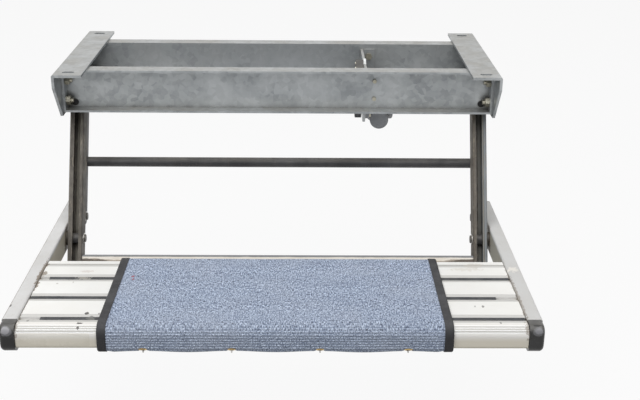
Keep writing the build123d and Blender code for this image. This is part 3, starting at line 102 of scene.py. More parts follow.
class Graph:
    """A node tree with short calls for the nodes that the finishes use."""

    def __init__(self, tree: bpy.types.NodeTree) -> None:
        """Keeps the tree that the calls add to."""
        self.tree = tree

    def node(self, kind: str, inputs: dict[str | int, Value] | None = None, **settings: object) -> Node:
        """Adds a node.

        Args:
            kind: The node's type.
            inputs: Values or sockets for its inputs, by name or number.
            **settings: The node's own settings.

        Returns:
            The new node.
        """
        made = self.tree.nodes.new(kind)
        for name, value in settings.items():
            setattr(made, name, value)
        for name, value in (inputs or {}).items():
            self.feed(made.inputs[name], value)
        return made

    def feed(self, socket: NodeSocket, value: Value) -> None:
        """Links a socket to an input, or sets the input where the value is no socket.

        Args:
            socket: The input.
            value: What feeds it.
        """
        if isinstance(value, NodeSocket):
            self.tree.links.new(value, socket)
        elif socket.type == "RGBA" and len(value) == 3:
            socket.default_value = (*value, 1.0)
        else:
            socket.default_value = value

    def maths(self, operation: str, *values: Value) -> NodeSocket:
        """Adds a Math node and returns its result."""
        return self.node("ShaderNodeMath", dict(enumerate(values)), operation=operation).outputs[0]

    def times(self, first: Value, second: Value) -> NodeSocket:
        """Multiplies two values."""
        return self.maths("MULTIPLY", first, second)

    def times_plus(self, first: Value, second: Value, added: Value) -> NodeSocket:
        """Multiplies two values and adds a third."""
        return self.maths("MULTIPLY_ADD", first, second, added)

    def vector(self, operation: str, *values: Value) -> NodeSocket:
        """Adds a Vector Math node and returns its vector."""
        return self.node("ShaderNodeVectorMath", dict(enumerate(values)), operation=operation).outputs[0]

    def measure(self, operation: str, *values: Value) -> NodeSocket:
        """Adds a Vector Math node and returns its number."""
        made = self.node("ShaderNodeVectorMath", dict(enumerate(values)), operation=operation)
        return made.outputs["Value"]

    def parts(self, vector: NodeSocket) -> bpy.types.bpy_prop_collection:
        """Splits a vector and returns its X, Y and Z."""
        return self.node("ShaderNodeSeparateXYZ", {0: vector}).outputs

    def coordinates(self, kind: str) -> NodeSocket:
        """Gives one kind of the surface's coordinates."""
        return self.node("ShaderNodeTexCoord").outputs[kind]

    def ramp(
        self, value: Value, low: Value, high: Value, to_low: Value = 0.0, to_high: Value = 1.0
    ) -> NodeSocket:
        """Maps a value smoothly from one range to another.

        Args:
            value: The value or socket that is mapped.
            low: Where the first range starts.
            high: Where the first range ends.
            to_low: What the start becomes.
            to_high: What the end becomes.

        Returns:
            The mapped value.
        """
        inputs = {0: value, 1: low, 2: high, 3: to_low, 4: to_high}
        return self.node("ShaderNodeMapRange", inputs, interpolation_type="SMOOTHSTEP").outputs[0]

    def blend(self, share: Value, first: Value, second: Value) -> NodeSocket:
        """Mixes two colours by a share and returns the colour."""
        return self.node("ShaderNodeMix", {0: share, 6: first, 7: second}, data_type="RGBA").outputs[2]

    def noise(self, vector: Value, scale: Value, detail: float = 3.0, roughness: float = 0.55) -> NodeSocket:
        """Adds a noise of that scale over a vector and returns its value."""
        inputs = {"Vector": vector, "Scale": scale, "Detail": detail, "Roughness": roughness}
        return self.node("ShaderNodeTexNoise", inputs).outputs[0]

    def stretched(
        self, vector: Value, stretch: Value, scale: Value, detail: float, roughness: float
    ) -> NodeSocket:
        """Adds a noise that is drawn out along some axes.

        Args:
            vector: The coordinates.
            stretch: How often the noise changes along each axis, compared with its scale.
            scale: Its scale.
            detail: Its number of finer layers.
            roughness: How strong the finer layers are.

        Returns:
            The noise.
        """
        return self.noise(self.vector("MULTIPLY", vector, stretch), scale, detail, roughness)

    def bump(self, height: Value, strength: float, distance: float) -> NodeSocket:
        """Adds a bump.

        Args:
            height: The height that changes over the surface.
            strength: How much of it shows, 0 to 1.
            distance: The size of one unit of height, in metres.

        Returns:
            The bent normal.
        """
        inputs = {"Height": height, "Strength": strength, "Distance": distance}
        return self.node("ShaderNodeBump", inputs).outputs[0]

    def seen_rays(self) -> NodeSocket:
        """Tells the rays that show a thing from those that only light another.

        Returns:
            1 for a ray of the camera, of gloss or through a clear thing, or else 0.
        """
        ray = self.node("ShaderNodeLightPath").outputs
        shown = self.maths("MAXIMUM", ray["Is Camera Ray"], ray["Is Glossy Ray"])
        return self.maths("MAXIMUM", shown, ray["Is Transmission Ray"])


class Effect:
    """A shader node group that is built once and placed in each material with its own values."""

    title: ClassVar[str]
    takes: ClassVar[tuple[Port, ...]]
    gives: ClassVar[tuple[Port, ...]]

    def wire(self, graph: Graph, source: bpy.types.bpy_prop_collection) -> Iterable[NodeSocket]:
        """Builds the inside of the group.

        Args:
            graph: The group's tree.
            source: The outputs of the group's input node, by name.

        Returns:
            One socket for each output, in their order.
        """
        raise NotImplementedError

    def group(self) -> bpy.types.NodeTree:
        """Builds the group on its first use.

        Returns:
            The group.
        """
        made = bpy.data.node_groups.get(self.title)
        if made is None:
            made = bpy.data.node_groups.new(self.title, "ShaderNodeTree")
            for port in self.takes:
                socket = made.interface.new_socket(port.name, in_out="INPUT", socket_type=port.kind.value)
                if port.kind is Socket.NUMBER:
                    socket.default_value = port.start
            for port in self.gives:
                made.interface.new_socket(port.name, in_out="OUTPUT", socket_type=port.kind.value)
            graph = Graph(made)
            source = graph.node("NodeGroupInput").outputs
            sink = graph.node("NodeGroupOutput")
            for port, result in zip(self.gives, self.wire(graph, source)):
                graph.feed(sink.inputs[port.name], result)
        return made

    def place(self, graph: Graph, **values: Value) -> bpy.types.bpy_prop_collection:
        """Places the group in a material.

        Args:
            graph: The material's tree.
            **values: Values or sockets for the group's inputs, with _ for a space.

        Returns:
            The group's outputs.
        """
        node = graph.node("ShaderNodeGroup", node_tree=self.group())
        for name, value in values.items():
            graph.feed(node.inputs[name.replace("_", " ").capitalize()], value)
        return node.outputs


class Grain(Effect):
    """Fine unevenness of a coat or a cast or rolled face, with a broad change of tone."""

    title = "Surface grain"
    takes = (Port("Vector", Socket.VECTOR), Port("Scale", start=600.0), Port("Tone scale", start=14.0))
    gives = (Port("Height"), Port("Tone"))

    def wire(self, graph: Graph, source: bpy.types.bpy_prop_collection) -> Iterable[NodeSocket]:
        """Adds the fine and the broad noise. Args and Returns as in Effect.wire."""
        fine = graph.noise(source["Vector"], source["Scale"], detail=4.0)
        broad = graph.noise(source["Vector"], source["Tone scale"], detail=5.0, roughness=0.62)
        return fine, graph.ramp(broad, low=0.3, high=0.7)


class EdgeWear(Effect):
    """Where corners stand out and lose their coat, broken up by noise."""

    title = "Edge wear"
    takes = (
        Port("Vector", Socket.VECTOR), Port("Radius", start=0.0015), Port("Scale", start=220.0),
        Port("Amount", start=0.5),
    )
    gives = (Port("Mask"),)

    def wire(self, graph: Graph, source: bpy.types.bpy_prop_collection) -> Iterable[NodeSocket]:
        """Compares the rounded with the true normal. Args and Returns as in Effect.wire."""
        rounded = graph.node("ShaderNodeBevel", {"Radius": source["Radius"]}, samples=6).outputs[0]
        true = graph.node("ShaderNodeNewGeometry").outputs["Normal"]
        turned = graph.maths("SUBTRACT", 1.0, graph.measure("DOT_PRODUCT", rounded, true))
        edge = graph.ramp(turned, low=0.01, high=0.16)
        breaks = graph.noise(source["Vector"], source["Scale"], detail=5.0, roughness=0.65)
        limit = graph.maths("SUBTRACT", 0.82, graph.times(source["Amount"], 0.5))
        return (graph.times(edge, graph.ramp(breaks, low=limit, high=graph.maths("ADD", limit, 0.09))),)


class GrimeAndShade(Effect):
    """Dirt and painted shade where faces meet in a corner, read from occlusion, stronger in patches."""

    title = "Crevice grime"
    takes = (
        Port("Vector", Socket.VECTOR), Port("Distance", start=0.008), Port("Scale", start=60.0),
        Port("Amount", start=0.5),
    )
    gives = (Port("Mask"),)

    def wire(self, graph: Graph, source: bpy.types.bpy_prop_collection) -> Iterable[NodeSocket]:
        """Darkens by occlusion and noise. Args and Returns as in Effect.wire."""
        reach = {"Distance": source["Distance"]}
        open_share = graph.node("ShaderNodeAmbientOcclusion", reach, samples=6).outputs["AO"]
        corner = graph.ramp(open_share, low=0.75, high=0.2)
        noise = graph.noise(source["Vector"], source["Scale"], detail=5.0, roughness=0.6)
        patches = graph.ramp(noise, low=0.25, high=0.65, to_low=0.35)
        return (graph.times(graph.times(corner, patches), source["Amount"]),)


class Dust(Effect):
    """Dust that lies on faces that look up, in soft patches."""

    title = "Settled dust"
    takes = (Port("Vector", Socket.VECTOR), Port("Scale", start=18.0), Port("Amount", start=0.3))
    gives = (Port("Mask"),)

    def wire(self, graph: Graph, source: bpy.types.bpy_prop_collection) -> Iterable[NodeSocket]:
        """Reads how far a face looks up at rest. Args and Returns as in Effect.wire."""
        up = graph.ramp(graph.parts(graph.coordinates("Normal"))["Z"], low=0.2, high=0.95)
        noise = graph.noise(source["Vector"], source["Scale"], detail=6.0, roughness=0.65)
        patches = graph.ramp(noise, low=0.3, high=0.7, to_low=0.2)
        return (graph.times(graph.times(up, patches), source["Amount"]),)


class Spot(Effect):
    """One ragged spot at a place of the object."""

    title = "Ragged spot"
    takes = (
        Port("Vector", Socket.VECTOR), Port("Centre", Socket.VECTOR), Port("Size", Socket.VECTOR),
        Port("Ragged", start=0.5), Port("Scale", start=400.0),
    )
    gives = (Port("Mask"),)

    def wire(self, graph: Graph, source: bpy.types.bpy_prop_collection) -> Iterable[NodeSocket]:
        """Measures the distance in units of the spot's size. Args and Returns as in Effect.wire."""
        away = graph.vector("SUBTRACT", source["Vector"], source["Centre"])
        away = graph.vector("DIVIDE", away, source["Size"])
        noise = graph.noise(source["Vector"], source["Scale"], detail=4.0, roughness=0.6)
        swing = graph.times(source["Ragged"], 4.0)
        ragged = graph.times_plus(graph.maths("SUBTRACT", noise, 0.5), swing, graph.measure("LENGTH", away))
        return (graph.ramp(ragged, low=1.0, high=0.8),)


class Band(Effect):
    """A straight band with crisp edges, square to a direction."""

    title = "Straight band"
    takes = (
        Port("Vector", Socket.VECTOR), Port("Across", Socket.VECTOR), Port("Centre"),
        Port("Half", start=0.001), Port("Soft", start=0.15),
    )
    gives = (Port("Mask"),)

    def wire(self, graph: Graph, source: bpy.types.bpy_prop_collection) -> Iterable[NodeSocket]:
        """Measures the distance from the band's middle. Args and Returns as in Effect.wire."""
        place = graph.measure("DOT_PRODUCT", source["Vector"], source["Across"])
        away = graph.maths("ABSOLUTE", graph.maths("SUBTRACT", place, source["Centre"]))
        full = graph.times(source["Half"], graph.maths("SUBTRACT", 1.0, source["Soft"]))
        return (graph.ramp(away, low=source["Half"], high=full),)


class Streaks(Effect):
    """Long thin marks that run one way, from handling, weather or the rolling of the metal."""

    title = "Streaks"
    takes = (
        Port("Vector", Socket.VECTOR), Port("Stretch", Socket.VECTOR), Port("Scale", start=60.0),
        Port("Limit", start=0.5),
    )
    gives = (Port("Mask"), Port("Height"))

    def wire(self, graph: Graph, source: bpy.types.bpy_prop_collection) -> Iterable[NodeSocket]:
        """Stretches a noise along the marks. Args and Returns as in Effect.wire."""
        place, limit = source["Vector"], source["Limit"]
        lines = graph.stretched(place, source["Stretch"], source["Scale"], detail=6.0, roughness=0.7)
        return graph.ramp(lines, low=limit, high=graph.maths("ADD", limit, 0.16)), lines


class Spangle(Effect):
    """The crystals of a hot-dip zinc coat."""

    title = "Zinc spangle"
    takes = (Port("Vector", Socket.VECTOR), Port("Scale", start=130.0))
    gives = (Port("Tone"),)

    def wire(self, graph: Graph, source: bpy.types.bpy_prop_collection) -> Iterable[NodeSocket]:
        """Gives each cell a tone of its own. Args and Returns as in Effect.wire."""
        bent = graph.node("ShaderNodeTexNoise", {"Vector": source["Vector"], "Scale": 90.0}).outputs["Color"]
        shifted = graph.vector("ADD", source["Vector"], graph.vector("MULTIPLY", bent, (0.004, 0.004, 0.004)))
        cells = graph.node("ShaderNodeTexVoronoi", {"Vector": shifted, "Scale": source["Scale"]})
        return (graph.node("ShaderNodeSeparateColor", {0: cells.outputs["Color"]}).outputs[0],)


class Fibres(Effect):
    """Matted fibres of two tones, with flecks, and the soft ribs of needle felt, with painted shade in the
    ribs' grooves.
    """

    title = "Felt fibres"
    takes = (Port("Vector", Socket.VECTOR), Port("Pitch", start=MAT_RIB_PITCH), Port("Fleck", start=0.5))
    gives = (Port("Heather"), Port("Fleck"), Port("Height"), Port("Groove shade"))
    fibre_scale: ClassVar[float] = 1500.0
    nose_length: ClassVar[float] = 42.0 * MM
    pressed: ClassVar[float] = 0.42

    def wire(self, graph: Graph, source: bpy.types.bpy_prop_collection) -> Iterable[NodeSocket]:
        """Lays fibres of both directions over the ribs. Args and Returns as in Effect.wire."""
        flat = source["Vector"]
        waves = graph.node("ShaderNodeTexNoise", {"Vector": flat, "Scale": 300.0, "Detail": 2.0})
        wavy = waves.outputs["Color"]
        bent = graph.vector("ADD", flat, graph.vector("MULTIPLY", wavy, (0.002, 0.002, 0.0)))
        across = graph.stretched(bent, (1.0, 0.3, 1.0), self.fibre_scale, detail=4.0, roughness=0.7)
        along = graph.stretched(bent, (0.3, 1.0, 1.0), self.fibre_scale, detail=4.0, roughness=0.7)
        fibre = graph.maths("MAXIMUM", across, along)
        drawn = self.drawn_out(graph, bent)
        tuft = graph.noise(drawn, 620.0, detail=3.0, roughness=0.6)
        heather = graph.ramp(graph.times_plus(fibre, 0.4, graph.times(tuft, 0.6)), low=0.42, high=0.64)
        dark = graph.stretched(drawn, (0.8, 1.2, 1.0), 520.0, detail=3.0, roughness=0.7)
        fleck = graph.ramp(dark, low=source["Fleck"], high=graph.maths("ADD", source["Fleck"], 0.08))
        turns = graph.maths("DIVIDE", graph.parts(flat)["Y"], source["Pitch"])
        rib = graph.maths("COSINE", graph.times(turns, math.tau))
        return heather, fleck, fibre, graph.ramp(rib, low=-0.2, high=-1.0)

    def drawn_out(self, graph: Graph, flat: NodeSocket) -> NodeSocket:
        """Draws the tufts out along the tread, but not on the nose's front.

        Args:
            graph: The group's nodes.
            flat: Place on the flat cut.

        Returns:
            The place with its length pressed together past the nose.
        """
        parts = graph.parts(flat)
        front = graph.maths("MINIMUM", parts["Y"], self.nose_length)
        top = graph.times(graph.maths("SUBTRACT", parts["Y"], front), self.pressed)
        drawn = {"X": parts["X"], "Y": graph.maths("ADD", front, top)}
        return graph.node("ShaderNodeCombineXYZ", drawn).outputs["Vector"]


class Weave(Effect):
    """The over and under of a woven tape."""

    title = "Tape weave"
    takes = (Port("Vector", Socket.VECTOR), Port("Pitch", start=0.0011))
    gives = (Port("Height"), Port("Tone"))

    def wire(self, graph: Graph, source: bpy.types.bpy_prop_collection) -> Iterable[NodeSocket]:
        """Crosses two waves, each row half a step off. Args and Returns as in Effect.wire."""
        parts = graph.parts(source["Vector"])
        waves = []
        for crossing in ("ADD", "SUBTRACT"):
            turns = graph.maths("DIVIDE", graph.maths(crossing, parts["X"], parts["Y"]), source["Pitch"])
            waves.append(graph.maths("SINE", graph.times(turns, math.tau)))
        tone = graph.noise(source["Vector"], 500.0, detail=4.0, roughness=0.7)
        return graph.ramp(graph.times(*waves), low=-1.0, high=1.0), tone


# Finishes

ALONG_X: Axes = (1.0, 0.0, 0.0)
ALONG_Y: Axes = (0.0, 1.0, 0.0)
UPWARD: Axes = (0.0, 0.0, 1.0)
SLOPE: Axes = (0.0, math.sqrt(0.5), math.sqrt(0.5))


@dataclass(frozen=True)
class Mark:
    """A chip, smear, patch of dirt, painted highlight or painted shade at a place of the object, in metres,
    its size from the middle out.
    """

    centre: Axes
    size: Axes
    colour: Colour
    share: float = 1.0
    ragged: float = 0.5
    scale: float = 400.0


@dataclass(frozen=True)
class Stripe:
    """A straight line or band of another tone, square to a direction, in metres.

    It runs all over the object, or only within half_x of middle_x.
    """

    across: Axes
    centre: float
    half: float
    colour: Colour
    share: float = 1.0
    soft: float = 0.15
    middle_x: float = 0.0
    half_x: float = 0.0


@dataclass
class Skin:
    """What a finish builds up, layer by layer, in one material."""

    graph: Graph
    place: NodeSocket
    colour: Value = (0.5, 0.5, 0.5)
    rough: Value = 0.5
    metal: Value = 0.0
    normal: NodeSocket | None = None
    constants: dict[str, float] = field(default_factory=dict)

    def cover(self, mask: NodeSocket, colour: Colour, rougher: float = 0.0) -> None:
        """Lays a colour over the skin.

        Args:
            mask: Where it lies, 0 to 1.
            colour: The colour.
            rougher: How much rougher the skin gets there.
        """
        self.colour = self.graph.blend(mask, self.colour, colour)
        if rougher:
            self.rough = self.graph.times_plus(mask, rougher, self.rough)

    def band(self, across: Axes, centre: float, half: float, soft: float) -> NodeSocket:
        """Masks a straight band.

        Args:
            across: The direction that it is square to.
            centre: The band's middle along that direction.
            half: Half its width.
            soft: The share of that half over which it fades.

        Returns:
            The mask.
        """
        values = {"across": across, "centre": centre, "half": half, "soft": soft}
        return Band().place(self.graph, vector=self.place, **values)["Mask"]

    def add_stripes(self, stripes: tuple[Stripe, ...]) -> None:
        """Lays the stripes over the skin.

        Args:
            stripes: The stripes, the lowest first.
        """
        for stripe in stripes:
            band = self.band(stripe.across, stripe.centre, stripe.half, stripe.soft)
            if stripe.half_x:
                band = self.graph.times(band, self.band(ALONG_X, stripe.middle_x, stripe.half_x, soft=0.05))
            self.cover(self.graph.times(band, stripe.share), stripe.colour)

    def add_marks(self, marks: tuple[Mark, ...]) -> None:
        """Lays the marks over the skin.

        Args:
            marks: The marks, the lowest first.
        """
        for mark in marks:
            values = {"centre": mark.centre, "size": mark.size, "ragged": mark.ragged, "scale": mark.scale}
            spot = Spot().place(self.graph, vector=self.place, **values)["Mask"]
            self.cover(self.graph.times(spot, mark.share), mark.colour)


@dataclass(frozen=True)
class Finish:
    """A surface finish with grain, wear, dirt and dust, painted shade in its corners, and stripes and marks,
    built as one material.
    """

    name: str
    colour: Colour
    second: Colour
    roughness: float = 0.5
    rough_change: float = 0.12
    metallic: float = 0.0
    coat: float = 0.0
    coat_roughness: float = 0.25
    specular: float = 0.5
    grain_scale: float = 900.0
    grain_depth: float = 0.00004
    grain_strength: float = 0.35
    tone_scale: float = 12.0
    spangle: float = 0.0
    bare: Colour = (0.42, 0.42, 0.42)
    bare_metallic: float = 1.0
    wear: float = 0.35
    wear_radius: float = 0.0012
    # The colour that the corner mask lays, dirt and painted shade together; the film also lays it round its
    # rim.
    dirt: Colour = (0.10, 0.085, 0.065)
    grime_and_shade: float = 0.5
    grime_and_shade_reach: float = 0.010
    dust: float = 0.15
    dust_colour: Colour = (0.42, 0.39, 0.34)
    streaks: float = 0.0
    streak_way: Axes = (1.0, 12.0, 12.0)
    streak_colour: Colour = (0.5, 0.48, 0.44)
    streak_limit: float = 0.55
    stripes: tuple[Stripe, ...] = ()
    marks: tuple[Mark, ...] = ()

    def material(self) -> bpy.types.Material:
        """Builds the material on its first use.

        Returns:
            The finish as a Blender material.
        """
        title = f"{self.name}_finish"
        found = bpy.data.materials.get(title)
        if found is not None:
            return found
        made = bpy.data.materials.new(title)
        made.use_nodes = True
        made.node_tree.nodes.clear()
        graph = Graph(made.node_tree)
        shader = graph.node("ShaderNodeBsdfPrincipled")
        graph.node("ShaderNodeOutputMaterial", {"Surface": shader.outputs[0]})
        skin = Skin(graph, graph.coordinates("Object"))
        self.layers(skin)
        built = {"Base Color": skin.colour, "Roughness": skin.rough, "Metallic": skin.metal}
        for name, value in (built | {"Normal": skin.normal} | skin.constants).items():
            graph.feed(shader.inputs[name], value)
        return made

    def layers(self, skin: Skin) -> None:
        """Builds colour, roughness, metal share and bump, from the coat up to the marks.

        Args:
            skin: The skin that the layers go on.
        """
        graph, place, half = skin.graph, skin.place, self.rough_change / 2
        grain = Grain().place(graph, vector=place, scale=self.grain_scale, tone_scale=self.tone_scale)
        skin.colour = graph.blend(grain["Tone"], self.colour, self.second)
        skin.rough = graph.ramp(grain["Tone"], 0.0, 1.0, self.roughness - half, self.roughness + half)
        skin.metal = self.metallic
        height = grain["Height"]
        if self.spangle:
            crystals = Spangle().place(graph, vector=place)["Tone"]
            pale = tuple(min(1.0, v * 1.3) for v in self.colour)
            skin.colour = graph.blend(graph.times(crystals, self.spangle), skin.colour, pale)
            skin.rough = graph.times_plus(crystals, -0.16 * self.spangle, skin.rough)
        skin.add_stripes(self.stripes)
        if self.streaks:
            lines = Streaks().place(graph, vector=place, stretch=self.streak_way, limit=self.streak_limit)
            skin.cover(graph.times(lines["Mask"], self.streaks), self.streak_colour)
            skin.rough = graph.times_plus(lines["Mask"], 0.12, skin.rough)
            height = graph.times_plus(lines["Height"], 0.6, height)
        if self.wear:
            worn = EdgeWear().place(graph, vector=place, radius=self.wear_radius, amount=self.wear)["Mask"]
            skin.cover(worn, self.bare)
            skin.metal = graph.ramp(worn, 0.0, 1.0, self.metallic, self.bare_metallic)
        if self.dust:
            film = Dust().place(graph, vector=place, amount=self.dust)["Mask"]
            skin.cover(film, self.dust_colour, rougher=0.3)
        # Dirt and painted shade in the corners, where occlusion is strong.
        if self.grime_and_shade:
            skin.cover(self.grime_and_shade_mask(skin), self.dirt, rougher=0.25)
        skin.add_marks(self.marks)
        skin.rough = graph.maths("MINIMUM", skin.rough, 1.0)
        skin.normal = graph.bump(height, self.grain_strength, self.grain_depth)
        skin.constants["Specular IOR Level"] = self.specular
        if self.coat:
            skin.constants |= {"Coat Weight": self.coat, "Coat Roughness": self.coat_roughness}

    def grime_and_shade_mask(self, skin: Skin) -> NodeSocket:
        """Masks the corners for dirt and painted shade."""
        values = {"vector": skin.place, "distance": self.grime_and_shade_reach, "amount": self.grime_and_shade}
        return GrimeAndShade().place(skin.graph, **values)["Mask"]


@dataclass(frozen=True)
class FeltFinish(Finish):
    """Ribbed needle felt of two tones, read from the mat's flat cut."""

    fleck: Colour = srgb(66, 72, 90)

    def layers(self, skin: Skin) -> None:
        """Mixes the fibres' tones, the dark flecks and painted shade in the ribs' grooves. Args as in
        Finish.layers.
        """
        graph = skin.graph
        flat = graph.coordinates("UV")
        fibres = Fibres().place(graph, vector=flat, pitch=MAT_RIB_PITCH, fleck=0.55)
        skin.colour = graph.blend(fibres["Heather"], self.second, self.colour)
        skin.cover(fibres["Fleck"], self.fleck)
        rows = graph.stretched(flat, (1.0, 4.0, 1.0), 30.0, detail=3.0, roughness=0.7)
        rows = graph.ramp(rows, low=0.5, high=0.62, to_low=0.3, to_high=0.85)
        # Painted shade in the ribs' grooves, in rows.
        skin.cover(graph.times(fibres["Groove shade"], rows), self.second)
        clumps = graph.stretched(flat, (0.4, 1.0, 1.0), 190.0, detail=4.0, roughness=0.65)
        skin.cover(graph.ramp(clumps, low=0.5, high=0.72, to_high=0.5), self.second)
        worn = graph.noise(flat, 11.0, detail=4.0, roughness=0.6)
        skin.cover(graph.ramp(worn, low=0.35, high=0.75, to_high=0.22), self.dust_colour)
        skin.add_marks(self.marks)
        skin.cover(self.grime_and_shade_mask(skin), self.dirt)
        skin.rough = graph.ramp(fibres["Heather"], low=0.0, high=1.0, to_low=0.98, to_high=0.88)
        skin.normal = graph.bump(fibres["Height"], strength=0.9, distance=0.0006)
        skin.constants |= {"Sheen Weight": 0.15, "Sheen Roughness": 0.6, "Specular IOR Level": 0.15}


@dataclass(frozen=True)
class TapeFinish(Finish):
    """Woven black tape that binds the mat's sides, with worn high yarns."""

    pitch: float = 0.0022

    def layers(self, skin: Skin) -> None:
        """Puts the weave over the tone, and dust on the yarns. Args as in Finish.layers."""
        graph = skin.graph
        weave = Weave().place(graph, vector=graph.coordinates("UV"), pitch=self.pitch)
        skin.colour = graph.blend(weave["Height"], self.colour, self.second)
        film = Dust().place(graph, vector=skin.place, amount=self.dust, scale=40.0)["Mask"]
        skin.cover(graph.times(film, weave["Tone"]), self.dust_colour)
        skin.cover(self.grime_and_shade_mask(skin), self.dirt)
        skin.rough = graph.ramp(weave["Tone"], low=0.2, high=0.8, to_low=0.7, to_high=0.9)
        skin.normal = graph.bump(weave["Height"], strength=0.8, distance=0.0003)
        skin.constants["Specular IOR Level"] = 0.3


@dataclass(frozen=True)
class FilmFinish(Finish):
    """Thin label film, bare, pale at the middle and dirty round its rim."""

    centre: Axes = (0.0, 0.0, 0.0)
    half: Axes = (1.0, 1.0, 1.0)

    def layers(self, skin: Skin) -> None:
        """Adds a dirty rim to the plain layers. Args as in Finish.layers."""
        super().layers(skin)
        values = {"centre": self.centre, "size": self.half, "ragged": 0.12, "scale": 300.0}
        inside = Spot().place(skin.graph, vector=skin.place, **values)["Mask"]
        skin.cover(skin.graph.ramp(inside, low=0.0, high=1.0, to_low=0.08, to_high=0.0), self.dirt)


def along_nose(angle: float) -> float:
    """Measures where a line of the nose lies up the slope of its round, at 45 degrees.

    Args:
        angle: The line's place on the round, in degrees up from the front.

    Returns:
        Its place along SLOPE.
    """
    turn = math.radians(angle)
    return (NOSE_FRONT + TREAD_TOP + NOSE_ROUND * (math.sin(turn) - math.cos(turn))) * math.sqrt(0.5)


CHIP: Colour = srgb(62, 58, 54)
DIRT: Colour = srgb(112, 92, 66)
RUST: Colour = srgb(150, 98, 58)
# Painted shade on the bevelled lips beside the grip strips, and on the rear plank's line.
LIP_SHADE: Colour = srgb(204, 203, 200)
# Painted shade in the fine lines of the nose's round.
GROOVE_SHADE: Colour = srgb(160, 158, 152)
# Painted light: white over the shade at the strips' empty groove ends, and highlights on the nose's round.
PAINTED_LIGHT: Colour = srgb(255, 255, 254)
# Beige on the nose's front, darker and browner towards its foot: dirt and painted shade.
NOSE_DIRT_AND_SHADE: tuple[Stripe, ...] = (
    Stripe(UPWARD, -0.2790, 0.0240, srgb(224, 218, 203), 1.0, 0.4),
    Stripe(UPWARD, -0.2760, 0.0060, srgb(192, 185, 160), 0.8, 0.7),
    Stripe(UPWARD, -0.2760, 0.0020, srgb(132, 122, 88), 0.85, 0.4),
)
# Painted shade: near-black bands where the pins and bushes pass through the swing arms' channel gaps.
PIN_GAP_SHADE: tuple[Stripe, ...] = tuple(
    Stripe(ALONG_X, x, 0.0026, srgb(16, 14, 12), 1.0, 0.2) for x in (-0.3280, 0.3280)
)


